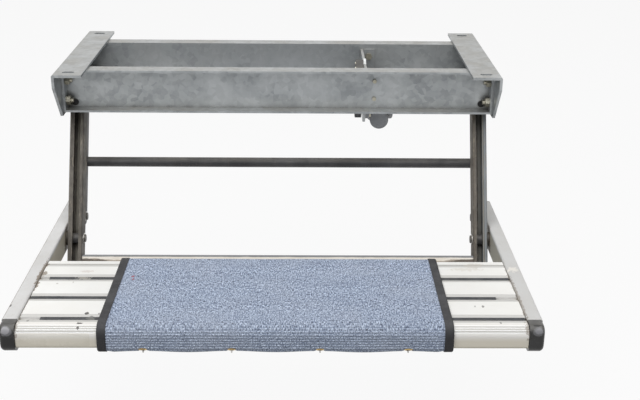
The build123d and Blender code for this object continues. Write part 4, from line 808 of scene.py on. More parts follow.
class Finishes:
    """Every finish of the step, by the surface that has it."""

    galvanised = Finish(
        "galvanised_steel", srgb(168, 171, 172), srgb(140, 144, 146), roughness=0.46, metallic=0.75,
        spangle=0.42, tone_scale=18.0, wear=0.0, grime_and_shade=0.75, dust=0.45,
        streaks=0.3, streak_colour=srgb(200, 198, 192), streak_limit=0.58,
    )
    # Darker than the frame's zinc: painted shade where the angles show beside the caps.
    angle_steel = replace(
        galvanised, name="angle_steel", colour=srgb(132, 134, 134), second=srgb(104, 106, 107),
        spangle=0.3, grime_and_shade=0.9, dust=0.2,
    )
    zinc = Finish(
        "zinc_plated", srgb(186, 182, 168), srgb(160, 156, 140), roughness=0.36, metallic=0.9,
        grain_scale=1600.0, tone_scale=60.0, wear=0.0, grime_and_shade=0.6, dust=0.3,
    )
    spring_steel = Finish(
        "spring_steel", srgb(206, 204, 200), srgb(178, 176, 172), roughness=0.38, metallic=0.8,
        grain_scale=2200.0, tone_scale=70.0, wear=0.0, grime_and_shade=0.2, dust=0.15,
    )
    bright = Finish(
        "bright_steel", srgb(150, 149, 146), srgb(112, 110, 106), roughness=0.4, metallic=0.85,
        grain_scale=1800.0, tone_scale=25.0, wear=0.0, grime_and_shade=0.5, dust=0.2,
        streaks=0.35, streak_way=(30.0, 1.0, 1.0), streak_colour=srgb(128, 124, 116),
    )
    pin_steel = Finish(
        "pin_steel", srgb(98, 95, 90), srgb(70, 67, 62), roughness=0.48, metallic=0.4,
        grain_scale=1600.0, tone_scale=50.0, wear=0.4, bare=srgb(150, 146, 138), grime_and_shade=0.7, dust=0.3,
        # Painted shade where the pins pass through the channel gaps.
        stripes=PIN_GAP_SHADE,
    )
    arm_steel = Finish(
        "arm_steel", srgb(104, 99, 92), srgb(66, 62, 57), roughness=0.62, metallic=0.1,
        grain_depth=0.00008, tone_scale=26.0, wear=0.55, bare=srgb(158, 150, 138), bare_metallic=0.3,
        dirt=srgb(58, 48, 38), grime_and_shade=0.9, grime_and_shade_reach=0.012, dust=0.25,
        streaks=0.8, streak_way=(7.0, 1.0, 1.0), streak_colour=srgb(150, 142, 128), streak_limit=0.52,
        stripes=(
            # Painted highlight: bluish-grey band on the right swing arm's outer plate.
            Stripe(ALONG_X, 0.3240, 0.0032, srgb(138, 145, 150), 0.75, 0.2),
            Stripe(ALONG_X, 0.3050, 0.0030, srgb(92, 84, 74), 0.6, 0.2),
            Stripe(ALONG_X, -0.3259, 0.0018, srgb(128, 124, 118), 0.7, 0.3),
            # Painted light: pale bands on the channels' webs, lifting them out of their shade.
            Stripe(ALONG_X, -0.3165, 0.0020, srgb(160, 156, 144), 0.85, 0.2),
            Stripe(ALONG_X, 0.3180, 0.0024, srgb(150, 150, 144), 0.85, 0.15),
        ),
    )
    link_steel = Finish(
        "link_steel", srgb(78, 78, 79), srgb(56, 56, 58), roughness=0.52, metallic=0.15,
        grain_depth=0.00007, tone_scale=20.0, wear=0.55, bare=srgb(140, 136, 130), grime_and_shade=0.7, dust=0.3,
        streaks=0.35, streak_way=(9.0, 1.0, 1.0), streak_colour=srgb(118, 112, 102),
    )
    crossbar = Finish(
        "crossbar_coat", srgb(248, 242, 232), srgb(238, 230, 217), roughness=0.5, tone_scale=22.0,
        wear=0.4, bare=srgb(150, 146, 138), dirt=srgb(104, 88, 68), grime_and_shade=0.6, grime_and_shade_reach=0.015,
        dust=0.25, dust_colour=srgb(104, 98, 90),
        streaks=0.45, streak_way=(1.0, 9.0, 9.0), streak_colour=srgb(150, 130, 100), streak_limit=0.56,
    )
    gear = Finish(
        "gear_steel", srgb(104, 104, 104), srgb(72, 71, 70), roughness=0.36, metallic=0.85, tone_scale=40.0,
        wear=0.7, wear_radius=0.0006, bare=srgb(190, 188, 184),
        dirt=srgb(46, 38, 26), grime_and_shade=0.95, grime_and_shade_reach=0.006, dust=0.15,
    )
    bush = Finish(
        "bush_plastic", srgb(64, 64, 66), srgb(50, 50, 52), roughness=0.46, tone_scale=60.0,
        wear=0.3, bare=srgb(104, 102, 100), bare_metallic=0.0, dirt=srgb(90, 78, 58), grime_and_shade=0.5, dust=0.3,
        # Painted shade where the bushes pass through the channel gaps.
        stripes=PIN_GAP_SHADE,
    )
    buffer = Finish(
        "buffer_rubber", srgb(46, 46, 46), srgb(32, 32, 33), roughness=0.82,
        grain_scale=1400.0, grain_depth=0.0001, tone_scale=70.0,
        wear=0.3, bare=srgb(84, 82, 80), bare_metallic=0.0, grime_and_shade=0.4, dust=0.4,
    )
    cast = Finish(
        "gearbox_cast", srgb(158, 160, 162), srgb(134, 136, 139), roughness=0.5, metallic=0.55,
        grain_scale=700.0, grain_depth=0.00018, grain_strength=0.6, tone_scale=30.0,
        wear=0.55, bare=srgb(206, 206, 204), grime_and_shade=0.75, dust=0.35,
    )
    motor = Finish(
        "motor_black", srgb(42, 42, 44), srgb(30, 30, 32), roughness=0.4, coat=0.25,
        grain_scale=1100.0, tone_scale=25.0, wear=0.5, bare=srgb(150, 148, 144), grime_and_shade=0.4, dust=0.35,
    )
    black_plastic = Finish(
        "black_plastic", srgb(44, 44, 45), srgb(34, 34, 35), roughness=0.5,
        grain_scale=1500.0, grain_depth=0.00008, tone_scale=40.0,
        wear=0.4, bare=srgb(92, 90, 88), bare_metallic=0.0, grime_and_shade=0.35, dust=0.35,
    )
    plunger = Finish(
        "plunger_plastic", srgb(196, 62, 48), srgb(176, 50, 40), roughness=0.42,
        grain_scale=2500.0, tone_scale=200.0, wear=0.0, grime_and_shade=0.3, dust=0.15,
    )
    rivet = Finish(
        "rivet_metal", srgb(178, 178, 176), srgb(150, 150, 148), roughness=0.4, metallic=0.85,
        grain_scale=1800.0, tone_scale=80.0, wear=0.0, grime_and_shade=0.7, dust=0.25,
    )
    brass = Finish(
        "eyelet_brass", srgb(206, 176, 108), srgb(164, 134, 76), roughness=0.32, metallic=0.95,
        grain_scale=2000.0, tone_scale=160.0, wear=0.0,
        dirt=srgb(70, 54, 30), grime_and_shade=0.7, grime_and_shade_reach=0.004, dust=0.2,
    )
    thread = Finish(
        "binding_thread", srgb(58, 58, 60), srgb(40, 40, 42), roughness=0.8,
        grain_scale=2600.0, grain_depth=0.0001, tone_scale=200.0, wear=0.0, grime_and_shade=0.3, dust=0.3,
    )
    arm_coat = Finish(
        "arm_coat", srgb(223, 223, 223), srgb(213, 213, 213), roughness=0.42, coat=0.15, tone_scale=9.0,
        wear=0.35, wear_radius=0.001, bare=srgb(150, 148, 144),
        dirt=srgb(116, 98, 74), grime_and_shade=0.85, grime_and_shade_reach=0.014, dust=0.2, dust_colour=srgb(186, 178, 164),
        streaks=0.3, streak_way=(9.0, 1.0, 9.0), streak_colour=srgb(176, 168, 154), streak_limit=0.56,
        stripes=(
            # Painted shade along the left side arm's rounded outer edge.
            Stripe(ALONG_X, -0.3490, 0.0016, srgb(158, 154, 148), 0.7, 0.6),
            Stripe(ALONG_X, 0.3400, 0.0120, srgb(206, 206, 205), 0.9, 0.1),
            # Painted shade, greyer and warmer, on the side arms' inner faces.
            Stripe(UPWARD, -0.2640, 0.0190, srgb(204, 198, 182), 1.0, 0.1, -0.3305, 0.0020),
            Stripe(UPWARD, -0.2640, 0.0190, srgb(184, 181, 168), 1.0, 0.1, 0.3305, 0.0020),
        ),
        marks=(
            Mark((-0.3476, -0.4190, -0.2417), (0.0014, 0.0040, 0.006), CHIP, 0.9),
            Mark((0.3385, -0.3020, -0.2417), (0.0070, 0.0080, 0.006), srgb(238, 234, 226), 0.8, 0.9, 240.0),
            Mark((0.3270, -0.3090, -0.2417), (0.0050, 0.0060, 0.006), srgb(238, 234, 226), 0.7, 0.9, 240.0),
            Mark((-0.3300, -0.3150, -0.2417), (0.0035, 0.0450, 0.010), DIRT, 0.75, 0.7, 260.0),
            Mark((0.3300, -0.3900, -0.2417), (0.0025, 0.0700, 0.010), DIRT, 0.5, 0.9, 260.0),
        ),
    )
    cap = Finish(
        "cap_plastic", srgb(50, 50, 50), srgb(34, 34, 34), roughness=0.24, rough_change=0.08, specular=0.4,
        grain_scale=1300.0, grain_depth=0.00003, tone_scale=30.0,
        # Wear and dust set strong: besides scuffs and dust, their pale bevels and tops paint the highlight
        # and the lighter top that light from above gives.
        wear=0.45, wear_radius=0.002, bare=srgb(120, 118, 114), bare_metallic=0.0,
        grime_and_shade=0.5, dust=0.7, dust_colour=srgb(128, 126, 122),
        streaks=0.2, streak_way=(1.0, 9.0, 1.0), streak_colour=srgb(104, 102, 98),
        # Painted shade: the left cap's front darker towards its foot.
        stripes=(Stripe(UPWARD, -0.2720, 0.0170, srgb(16, 16, 16), 0.95, 0.3, -0.3400, 0.0130),),
        marks=(
            # Painted highlights on the caps' rounded top fronts.
            Mark((-0.3400, -0.473, -0.2500), (0.0086, 0.009, 0.0068), srgb(166, 166, 171), 0.35, 0.25, 110.0),
            Mark((-0.3412, -0.473, -0.2488), (0.0062, 0.009, 0.0046), srgb(196, 196, 201), 0.42, 0.25, 110.0),
            Mark((0.3410, -0.473, -0.2495), (0.0078, 0.008, 0.0066), srgb(148, 148, 152), 0.35, 0.2, 200.0),
            Mark((0.3415, -0.473, -0.2485), (0.0060, 0.008, 0.0042), srgb(164, 165, 171), 0.35, 0.2, 200.0),
            # Painted shade: a dark line along the top edge of the right cap's painted highlight.
            Mark((0.3400, -0.469, -0.2435), (0.0070, 0.0016, 0.004), srgb(36, 35, 35), 0.8, 0.6, 400.0),
        ),
    )
    plank = Finish(
        "plank_coat", srgb(251, 251, 249), srgb(246, 245, 241), roughness=0.4, coat=0.12, tone_scale=10.0,
        wear=0.3, wear_radius=0.0008, bare=srgb(176, 174, 170),
        dirt=srgb(150, 140, 120), grime_and_shade=0.35, grime_and_shade_reach=0.006, dust=0.10, dust_colour=srgb(214, 209, 198),
        streaks=0.15, streak_way=(1.0, 9.0, 9.0), streak_colour=srgb(206, 198, 182), streak_limit=0.57,
        stripes=(
            # Painted shade on the bevelled lips beside the grip strips.
            *(Stripe(ALONG_Y, y, 0.0115, LIP_SHADE, 0.95, 0.08) for y in (-0.3264, -0.3864, -0.4464)),
            # Painted light: white at the empty groove ends beyond the grip strips.
            Stripe(ALONG_Y, -0.3262, 0.0036, PAINTED_LIGHT, 1.0, 0.1, -0.3295, 0.0150),
            Stripe(ALONG_Y, -0.4462, 0.0036, PAINTED_LIGHT, 1.0, 0.1, -0.3295, 0.0290),
            Stripe(ALONG_Y, -0.3862, 0.0036, PAINTED_LIGHT, 1.0, 0.1, 0.3295, 0.0310),
            # Painted shade along the rear plank's shallow line.
            Stripe(ALONG_Y, -0.2842, 0.0052, LIP_SHADE, 0.95, 0.2),
        ),
        marks=(
            Mark((-0.2444, -0.4337, -0.2447), (0.0031, 0.0042, 0.004), CHIP, 0.9, 0.25),
            Mark((-0.2371, -0.4415, -0.2447), (0.0032, 0.0030, 0.004), srgb(120, 120, 118), 0.8, 0.4),
            Mark((-0.2284, -0.4344, -0.2447), (0.0014, 0.0032, 0.004), CHIP, 0.6),
            Mark((-0.3021, -0.3448, -0.2447), (0.0016, 0.0020, 0.004), DIRT, 0.4),
            Mark((-0.2809, -0.3406, -0.2447), (0.0012, 0.0020, 0.004), DIRT, 0.4),
            Mark((-0.2680, -0.3050, -0.2447), (0.0110, 0.0036, 0.004), RUST, 0.2, 0.9, 300.0),
            Mark((0.2850, -0.2840, -0.2447), (0.0150, 0.0080, 0.004), srgb(212, 207, 199), 0.7, 0.6, 160.0),
            Mark((0.2700, -0.2960, -0.2447), (0.0240, 0.0045, 0.004), srgb(222, 216, 206), 0.5, 0.9, 200.0),
            Mark((-0.3310, -0.2850, -0.2450), (0.0040, 0.0060, 0.010), DIRT, 0.8, 0.8, 260.0),
            Mark((-0.3280, -0.3130, -0.2450), (0.0050, 0.0080, 0.010), DIRT, 0.75, 0.7, 260.0),
            Mark((-0.3305, -0.3520, -0.2450), (0.0038, 0.0180, 0.010), DIRT, 0.85, 0.6, 260.0),
            Mark((-0.3312, -0.4150, -0.2450), (0.0024, 0.0380, 0.010), DIRT, 0.6, 0.7, 260.0),
            Mark((0.3305, -0.3300, -0.2450), (0.0025, 0.0600, 0.010), DIRT, 0.4, 0.9, 260.0),
            Mark((0.3312, -0.4300, -0.2450), (0.0024, 0.0150, 0.010), DIRT, 0.6, 0.7, 260.0),
            Mark((0.2788, -0.4117, -0.2447), (0.0018, 0.0036, 0.004), CHIP, 0.7),
            Mark((0.2682, -0.4115, -0.2447), (0.0012, 0.0026, 0.004), CHIP, 0.5),
        ),
    )
    nose = replace(
        plank, name="nose_coat", colour=srgb(244, 242, 238), second=srgb(240, 237, 232),
        grime_and_shade=0.08, wear=0.05, streaks=0.05,
        stripes=(
            # Painted shade on the lip beside the front strip.
            Stripe(ALONG_Y, -0.4464, 0.0115, LIP_SHADE, 0.95, 0.08),
            # Dirt and painted shade on the nose's front, darker towards its foot.
            *NOSE_DIRT_AND_SHADE,
            # Painted highlights between the fine lines on the nose's round.
            *(Stripe(SLOPE, along_nose(turn), 0.0011, PAINTED_LIGHT, 1.0, 0.3) for turn in (26.0, 42.0, 58.0, 74.0)),
            # Painted shade in the fine lines of the nose's round.
            *(Stripe(SLOPE, along_nose(turn), 0.0009, GROOVE_SHADE, 0.95, 0.3) for turn in (34.0, 50.0, 66.0)),
        ),
        marks=(
            Mark((-0.2484, -0.4608, -0.2447), (0.0042, 0.0024, 0.004), CHIP, 0.9, 0.5),
            Mark((-0.2496, -0.4690, -0.2480), (0.0018, 0.0024, 0.004), CHIP, 0.9, 0.4),
            Mark((-0.3169, -0.4536, -0.2447), (0.0018, 0.0030, 0.004), CHIP, 0.7),
            Mark((-0.3300, -0.4640, -0.2520), (0.0040, 0.0160, 0.012), DIRT, 0.5, 0.8, 260.0),
            Mark((0.2949, -0.4582, -0.2447), (0.0016, 0.0026, 0.004), CHIP, 0.6),
            Mark((0.3290, -0.4640, -0.2520), (0.0040, 0.0160, 0.012), DIRT, 0.5, 0.8, 260.0),
        ),
    )
    strip = Finish(
        "strip_rubber", srgb(84, 87, 92), srgb(66, 69, 75), roughness=0.7,
        grain_scale=1500.0, grain_depth=0.0002, grain_strength=0.6, tone_scale=60.0,
        wear=0.2, bare=srgb(150, 148, 144), bare_metallic=0.0,
        dirt=srgb(46, 42, 36), grime_and_shade=0.5, grime_and_shade_reach=0.006, dust=0.2, dust_colour=srgb(150, 146, 138),
        marks=(
            Mark((-0.2690, -0.3258, -0.2440), (0.0100, 0.0050, 0.006), srgb(196, 192, 184), 0.75, 0.9, 400.0),
            Mark((-0.2371, -0.4450, -0.2440), (0.0060, 0.0070, 0.006), srgb(142, 142, 138), 0.8, 0.7, 300.0),
        ),
    )
    felt = FeltFinish(
        "mat_felt", srgb(221, 234, 253), srgb(106, 118, 142),
        dirt=srgb(70, 72, 80), grime_and_shade=0.45, grime_and_shade_reach=0.008, dust_colour=srgb(176, 180, 190),
        marks=(
            Mark((-0.1996, -0.3286, -0.2407), (0.0020, 0.0030, 0.006), srgb(168, 84, 92), 0.8, 0.6),
            Mark((-0.1982, -0.3382, -0.2407), (0.0012, 0.0030, 0.006), srgb(168, 74, 80), 0.9, 0.4),
        ),
    )
    tape = TapeFinish(
        "binding_tape", srgb(40, 40, 42), srgb(66, 66, 68),
        dirt=srgb(30, 28, 26), grime_and_shade=0.4, dust=0.55, dust_colour=srgb(124, 124, 126),
    )
    film = FilmFinish(
        "label_film", srgb(246, 243, 236), srgb(241, 238, 230), roughness=0.3, coat=0.3, tone_scale=30.0,
        # The film takes the nose's beige, darker towards its foot: dirt and painted shade.
        wear=0.0, dirt=srgb(140, 128, 104), grime_and_shade=0.0, dust=0.05, stripes=NOSE_DIRT_AND_SHADE,
        centre=(-0.2800, -0.4743, -0.2615), half=(0.0440, 0.020, 0.0088),
    )


# Helpers for pieces


def add_piece(name: str, mesh: BMesh, finish: Finish, body: str) -> bpy.types.Object:
    """Makes an object of a finished bmesh, with its faces turned outward.

    The recalculation can turn a sheet that wraps round the tread inside out, which its volume shows.

    Args:
        name: The piece's name.
        mesh: Its mesh, in metres in the frame.
        finish: The finish that it wears.
        body: The body that it rides on.

    Returns:
        The new object.
    """
    bmesh.ops.recalc_face_normals(mesh, faces=mesh.faces)
    if mesh.calc_volume(signed=True) < 0:
        bmesh.ops.reverse_faces(mesh, faces=mesh.faces)
    data = bpy.data.meshes.new(name)
    mesh.to_mesh(data)
    mesh.free()
    data.shade_smooth()
    data.set_sharp_from_angle(angle=math.radians(45.0))
    data.materials.append(finish.material())
    made = bpy.data.objects.new(name, data)
    bpy.context.scene.collection.objects.link(made)
    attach(made, body)
    log.info("%s: %d faces", name, len(data.polygons))
    return made


def dress(finish: Finish, *nodes: str) -> None:
    """Gives CAD nodes their finish.

    Args:
        finish: The finish.
        *nodes: The nodes' names.
    """
    for name in nodes:
        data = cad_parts[name].data
        data.materials.clear()
        data.materials.append(finish.material())
        log.info("%s wears %s", name, finish.name)


def turn_to(way: Vector) -> Matrix:
    """Gives the turn that brings the Z axis to a direction."""
    return Z_AXIS.rotation_difference(way).to_matrix().to_4x4()


def flat_strip(width: float, length: float, columns: int, rows: int) -> BMesh:
    """Makes a flat grid that starts at y = 0 and has its middle at x = 0.

    Args:
        width: Its size along X.
        length: Its size along Y.
        columns: Faces along X.
        rows: Faces along Y.

    Returns:
        The grid.
    """
    mesh = bmesh.new()
    bmesh.ops.create_grid(mesh, x_segments=columns, y_segments=rows, size=0.5, calc_uvs=False)
    bmesh.ops.translate(mesh, verts=mesh.verts, vec=(0, 0.5, 0))
    bmesh.ops.scale(mesh, verts=mesh.verts, vec=(width, length, 1))
    return mesh


def add_back(mesh: BMesh) -> set[BMVert]:
    """Gives a flat sheet a second face.

    Args:
        mesh: The flat sheet.

    Returns:
        The points of the second face, still at the places of the first.
    """
    grown = bmesh.ops.extrude_face_region(mesh, geom=list(mesh.faces), use_keep_orig=True)["geom"]
    return {part for part in grown if isinstance(part, BMVert)}


def keep_flat_places(mesh: BMesh) -> None:
    """Writes each corner's place on the flat cut into its UV.

    Args:
        mesh: The flat sheet.
    """
    flat = mesh.loops.layers.uv.new("flat")
    for face in mesh.faces:
        for corner in face.loops:
            corner[flat].uv = corner.vert.co.xy


class Wire:
    """A round wire that grows ring by ring, by straight runs, bends and coils."""

    sides: ClassVar[int] = 8

    def __init__(self, radius: float, start: Vector, heading: Vector) -> None:
        """Starts the wire with a ring of points, in a mesh of its own.

        Args:
            radius: The wire's radius.
            start: The middle of its first ring.
            heading: The way that it grows.
        """
        self.mesh = bmesh.new()
        self.at = start.copy()
        self.heading = heading.normalized()
        ring_place = Matrix.Translation(start) @ turn_to(self.heading)
        bmesh.ops.create_circle(self.mesh, segments=self.sides, radius=radius, matrix=ring_place)
        self.ring: list[BMEdge] = list(self.mesh.edges)

    def run(self, length: float) -> None:
        """Grows straight on.

        Args:
            length: How far.
        """
        grown = bmesh.ops.extrude_edge_only(self.mesh, edges=self.ring)["geom"]
        points = [part for part in grown if isinstance(part, BMVert)]
        bmesh.ops.translate(self.mesh, verts=points, vec=self.heading * length)
        among = set(points)
        self.ring = [part for part in grown if isinstance(part, BMEdge) and set(part.verts) <= among]
        self.at = self.at + self.heading * length

    def turn(self, centre: Vector, axis: Vector, angle: float, steps: int, advance: float = 0.0) -> None:
        """Grows round an axis.

        Args:
            centre: A point of the axis.
            axis: The axis' direction.
            angle: How far it goes round.
            steps: Rings that are made.
            advance: How far it moves along the axis meanwhile.
        """
        along = axis.normalized()
        points = dict.fromkeys(point for edge in self.ring for point in edge.verts)
        grown = bmesh.ops.spin(
            self.mesh, geom=[*points, *self.ring], cent=centre, axis=along, dvec=along * (advance / steps),
            angle=angle, steps=steps, use_merge=False, use_duplicate=False,
        )["geom_last"]
        self.ring = [part for part in grown if isinstance(part, BMEdge)]
        spun = Matrix.Rotation(angle, 3, along)
        self.at = centre + spun @ (self.at - centre) + along * advance
        self.heading = (spun @ self.heading).normalized()

    def bend(self, radius: float, axis: Vector, angle: float, steps: int) -> None:
        """Bends about an axis at a radius, towards its own left side seen along the axis."""
        side = axis.normalized().cross(self.heading)
        self.turn(self.at + side * radius, axis, angle, steps)

    def close(self) -> BMesh:
        """Closes both ends.

        Returns:
            The wire's mesh.
        """
        rims = [edge for edge in self.mesh.edges if edge.is_boundary]
        bmesh.ops.holes_fill(self.mesh, edges=rims, sides=0)
        return self.mesh


# The mat


@dataclass(frozen=True)
class Leg:
    """One stretch of the mat's way round the tread, straight or round a centre."""

    length: float
    start: tuple[float, float]
    facing: float
    turn_radius: float | None = None

    def at(self, along: float, lift: float) -> tuple[float, float]:
        """Gives a place on the stretch.

        Args:
            along: Distance from its start, on the middle of the felt.
            lift: Height over the planks.

        Returns:
            The place as (y, height).
        """
        if self.turn_radius is None:
            out_y, out_z = math.cos(self.facing), math.sin(self.facing)
            return self.start[0] + out_z * along + out_y * lift, self.start[1] - out_y * along + out_z * lift
        angle = self.facing - along / (self.turn_radius + FELT_MIDDLE)
        reach = self.turn_radius + lift
        return self.start[0] + reach * math.cos(angle), self.start[1] + reach * math.sin(angle)


def quarter_bend(radius: float, centre: tuple[float, float], facing: float) -> Leg:
    """Makes a stretch that goes a quarter round.

    Args:
        radius: The round of the planks below it.
        centre: The round's centre as (y, height).
        facing: The way that the felt faces where the bend starts.

    Returns:
        The stretch.
    """
    return Leg((radius + FELT_MIDDLE) * math.pi / 2, centre, facing, radius)


@dataclass
class TreadMat:
    """The felt mat with its bindings, eyelets and springs, on the tread platform.

    Lifts are heights over the planks. The eyelet's rim is given in mm, as (up, radius) from its seat.
    """

    tread_rear: float = -268.21 * MM
    nose_height: float = 30.0 * MM
    foot_round: float = 4.0 * MM
    rear_round: float = 3.0 * MM
    plank_height: float = 25.0 * MM
    front_flap: float = 9.0 * MM
    rear_flap: float = 16.0 * MM
    shift: float = 3.5 * MM
    felt_half: float = 226.5 * MM
    outer_half: float = 229.0 * MM
    columns: int = 128
    cuts_per_rib: int = 4

    under_lift: float = 0.6 * MM
    felt_lift: float = 3.55 * MM
    rib_height: float = 0.4 * MM
    wave_height: float = 0.25 * MM
    sag: float = 1.6 * MM
    sag_reach: float = 22.0 * MM
    sag_fade: float = 5.0 * MM

    binding: float = 12.0 * MM
    tape_columns: int = 22
    tape_rows: int = 260
    tape_thickness: float = 0.45 * MM
    tape_middle: float = 2.5 * MM
    tape_round: float = 2.4 * MM
    tape_least_lift: float = 0.05 * MM
    seam_inset: float = 2.4 * MM
    seam_half: float = 0.8 * MM
    seam_depth: float = 0.2 * MM
    ripple: float = 0.12 * MM
    ripple_pitch: float = 9.0 * MM

    stitch_spacing: float = 4.0 * MM
    stitch_size: Axes = (0.55 * MM, 2.9 * MM, 0.5 * MM)
    stitch_bevel: float = 0.16 * MM
    stitch_lift: float = 4.72 * MM
    stitch_dip: float = 1.1 * MM

    eyelet_pitch: float = 114.0 * MM
    eyelet_count: int = 4
    eyelet_tilt: float = math.radians(51)
    eyelet_radius: float = 6.0 * MM
    eyelet_bore: float = 3.2 * MM
    eyelet_seat: float = 2.05 * MM
    hole_radius: float = 4.4 * MM
    press_margin: float = 0.6 * MM
    press_depth: float = 0.05 * MM
    rim_segments: int = 36
    rim: tuple[tuple[float, float], ...] = (
        (-1.6, 3.2), (0.0, 3.2), (0.45, 3.45), (0.6, 3.9), (0.58, 4.6), (0.45, 5.3), (0.2, 5.85),
        (-0.05, 6.0), (-0.1, 5.8), (0.15, 5.2), (0.2, 4.4), (0.1, 3.8), (-0.1, 3.42), (-1.6, 3.4),
    )

    spring_z: float = -280.71 * MM
    spring_front: float = -444.21 * MM
    spring_length: float = 96.0 * MM
    spring_mean: float = 3.1 * MM
    spring_turns: float = 44.0
    rings_per_turn: int = 14
    wire_radius: float = 0.9 * MM
    hook_bend: float = 2.0 * MM
    hook_tip: float = 1.2 * MM
    lead_share: float = 0.375
    lead_turn: float = math.radians(126.87)

    body: str = "tread_platform"
    legs: list[Leg] = field(init=False)
    length: float = field(init=False)
    eyelet_x: list[float] = field(init=False)

    def __post_init__(self) -> None:
        """Works out the way round the tread, its length and the eyelets' places."""
        foot_y, foot_z = NOSE_FRONT + self.foot_round, self.foot_round - self.nose_height
        arc_y = NOSE_FRONT + NOSE_ROUND
        rear_y = self.tread_rear - self.rear_round
        down, front, up, back = -math.pi / 2, -math.pi, -1.5 * math.pi, -2 * math.pi
        self.legs = [
            Leg(self.front_flap, (foot_y + self.front_flap, -self.nose_height), down),
            quarter_bend(self.foot_round, (foot_y, foot_z), down),
            Leg(self.nose_height - self.foot_round - NOSE_ROUND, (NOSE_FRONT, foot_z), front),
            quarter_bend(NOSE_ROUND, (arc_y, -NOSE_ROUND), front),
            Leg(rear_y - arc_y, (arc_y, 0.0), up),
            quarter_bend(self.rear_round, (rear_y, -self.rear_round), up),
            Leg(self.plank_height - self.rear_round, (self.tread_rear, -self.rear_round), back),
            quarter_bend(0.0, (self.tread_rear, -self.plank_height), back),
            Leg(self.rear_flap, (self.tread_rear, -self.plank_height), back + down),
        ]
        self.length = sum(leg.length for leg in self.legs)
        middle = (self.eyelet_count - 1) / 2
        self.eyelet_x = [self.shift + (i - middle) * self.eyelet_pitch for i in range(self.eyelet_count)]

    def around(self, x: float, along: float, lift: float) -> Vector:
        """Wraps a flat place of the mat round the tread.

        Args:
            x: Place across the step.
            along: Distance from the front flap's edge.
            lift: Height over the planks.

        Returns:
            The place in the frame.
        """
        rest = min(max(along, 0.0), self.length)
        for leg in self.legs[:-1]:
            if rest <= leg.length:
                break
            rest -= leg.length
        else:
            leg = self.legs[-1]
        y, height = leg.at(rest, lift)
        return Vector((x, y, TREAD_TOP + height))

    def eyelet_places(self) -> list[tuple[float, float]]:
        """Finds the eyelets on the flat cut.

        Returns:
            Each eyelet's place as (x, distance along).
        """
        front = self.front_flap + (self.foot_round + FELT_MIDDLE) * (math.pi / 2 - self.eyelet_tilt)
        rear = self.length - self.rear_flap / 2
        return [(x, along) for along in (front, rear) for x in self.eyelet_x]

    def seats(self) -> list[Matrix]:
        """Finds the eyelets on the wrapped mat.

        Returns:
            Each eyelet's place and direction, with Z away from the felt.
        """
        foot = Vector((0, NOSE_FRONT + self.foot_round, TREAD_TOP - self.nose_height + self.foot_round))
        out = Vector((0, -math.cos(self.eyelet_tilt), -math.sin(self.eyelet_tilt)))
        front = foot + out * (self.foot_round + self.eyelet_seat)
        rear_z = TREAD_TOP - self.plank_height - self.eyelet_seat
        rear = Vector((0, self.tread_rear - self.rear_flap / 2, rear_z))
        return [
            Matrix.Translation(origin + Vector((x, 0, 0))) @ turn_to(way)
            for origin, way in ((front, out), (rear, -Z_AXIS))
            for x in self.eyelet_x
        ]

    def outer_lift(self, x: float, along: float) -> float:
        """Measures the felt's outer face, with its ribs, soft waves and the sag between the springs.

        Args:
            x: Place across the step.
            along: Distance from the front flap's edge.

        Returns:
            The height over the planks.
        """
        rib = self.rib_height * math.cos(math.tau * along / MAT_RIB_PITCH)
        wave = self.wave_height * math.sin(x * 41.0 + along * 23.0) * math.sin(along * 31.0 - x * 17.0)
        near_front = max(0.0, 1.0 - max(0.0, along - self.front_flap) / self.sag_reach)
        inside = self.felt_half - self.binding - abs(x - self.shift)
        between = min(1.0, max(0.0, inside / self.sag_fade))
        hollow = (1 - math.cos(math.tau * (x - self.eyelet_x[0]) / self.eyelet_pitch)) / 2
        return self.felt_lift + rib + wave + self.sag * near_front * between * hollow

    def build_felt(self) -> bpy.types.Object:
        """Cuts the felt flat, with its ribs and holes, and wraps it round the tread.

        Returns:
            The felt.
        """
        rows = round(self.length / MAT_RIB_PITCH * self.cuts_per_rib)
        mesh = flat_strip(2 * self.felt_half, self.length, self.columns, rows)
        bmesh.ops.translate(mesh, verts=mesh.verts, vec=(self.shift, 0, 0))
        self.cut_holes(mesh)
        keep_flat_places(mesh)
        under = add_back(mesh)
        seats = [(seat, seat.inverted()) for seat in self.seats()]
        for point in mesh.verts:
            x, along = point.co.x, point.co.y
            if point in under:
                point.co = self.around(x, along, self.under_lift)
                continue
            placed = self.around(x, along, self.outer_lift(x, along))
            for seat, inverse in seats:
                local = inverse @ placed
                if local.xy.length < self.eyelet_radius + self.press_margin and local.z > -self.press_depth:
                    placed = seat @ Vector((local.x, local.y, -self.press_depth))
            point.co = placed
        felt = add_piece("mat_felt", mesh, Finishes.felt, self.body)
        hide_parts("mat")
        return felt

    def cut_holes(self, mesh: BMesh) -> None:
        """Cuts round holes for the eyelets in the flat felt.

        Args:
            mesh: The flat felt.
        """
        for x, along in self.eyelet_places():
            centre = Vector((x, along, 0))
            gone = [
                face for face in mesh.faces
                if (face.calc_center_median() - centre).length < self.hole_radius
            ]
            bmesh.ops.delete(mesh, geom=gone, context="FACES")
            for point in mesh.verts:
                away = point.co - centre
                if point.is_boundary and 0 < away.length < 2 * self.hole_radius:
                    point.co = centre + away.normalized() * self.hole_radius

    def folded(self, across: float, depth: float) -> tuple[float, float]:
        """Folds the binding tape round the mat's edge.

        Args:
            across: Distance from the tape's middle line.
            depth: How far inside the tape's outer face.

        Returns:
            (distance inward from the mat's outer edge, height over the planks).
        """
        quarter = self.tape_round * math.pi / 2
        reach = self.tape_round - depth
        if abs(across) < quarter:
            angle = across / self.tape_round
            return self.tape_round - reach * math.cos(angle), self.tape_middle + reach * math.sin(angle)
        lift = reach * math.copysign(1.0, across)
        return self.tape_round + abs(across) - quarter, self.tape_middle + lift

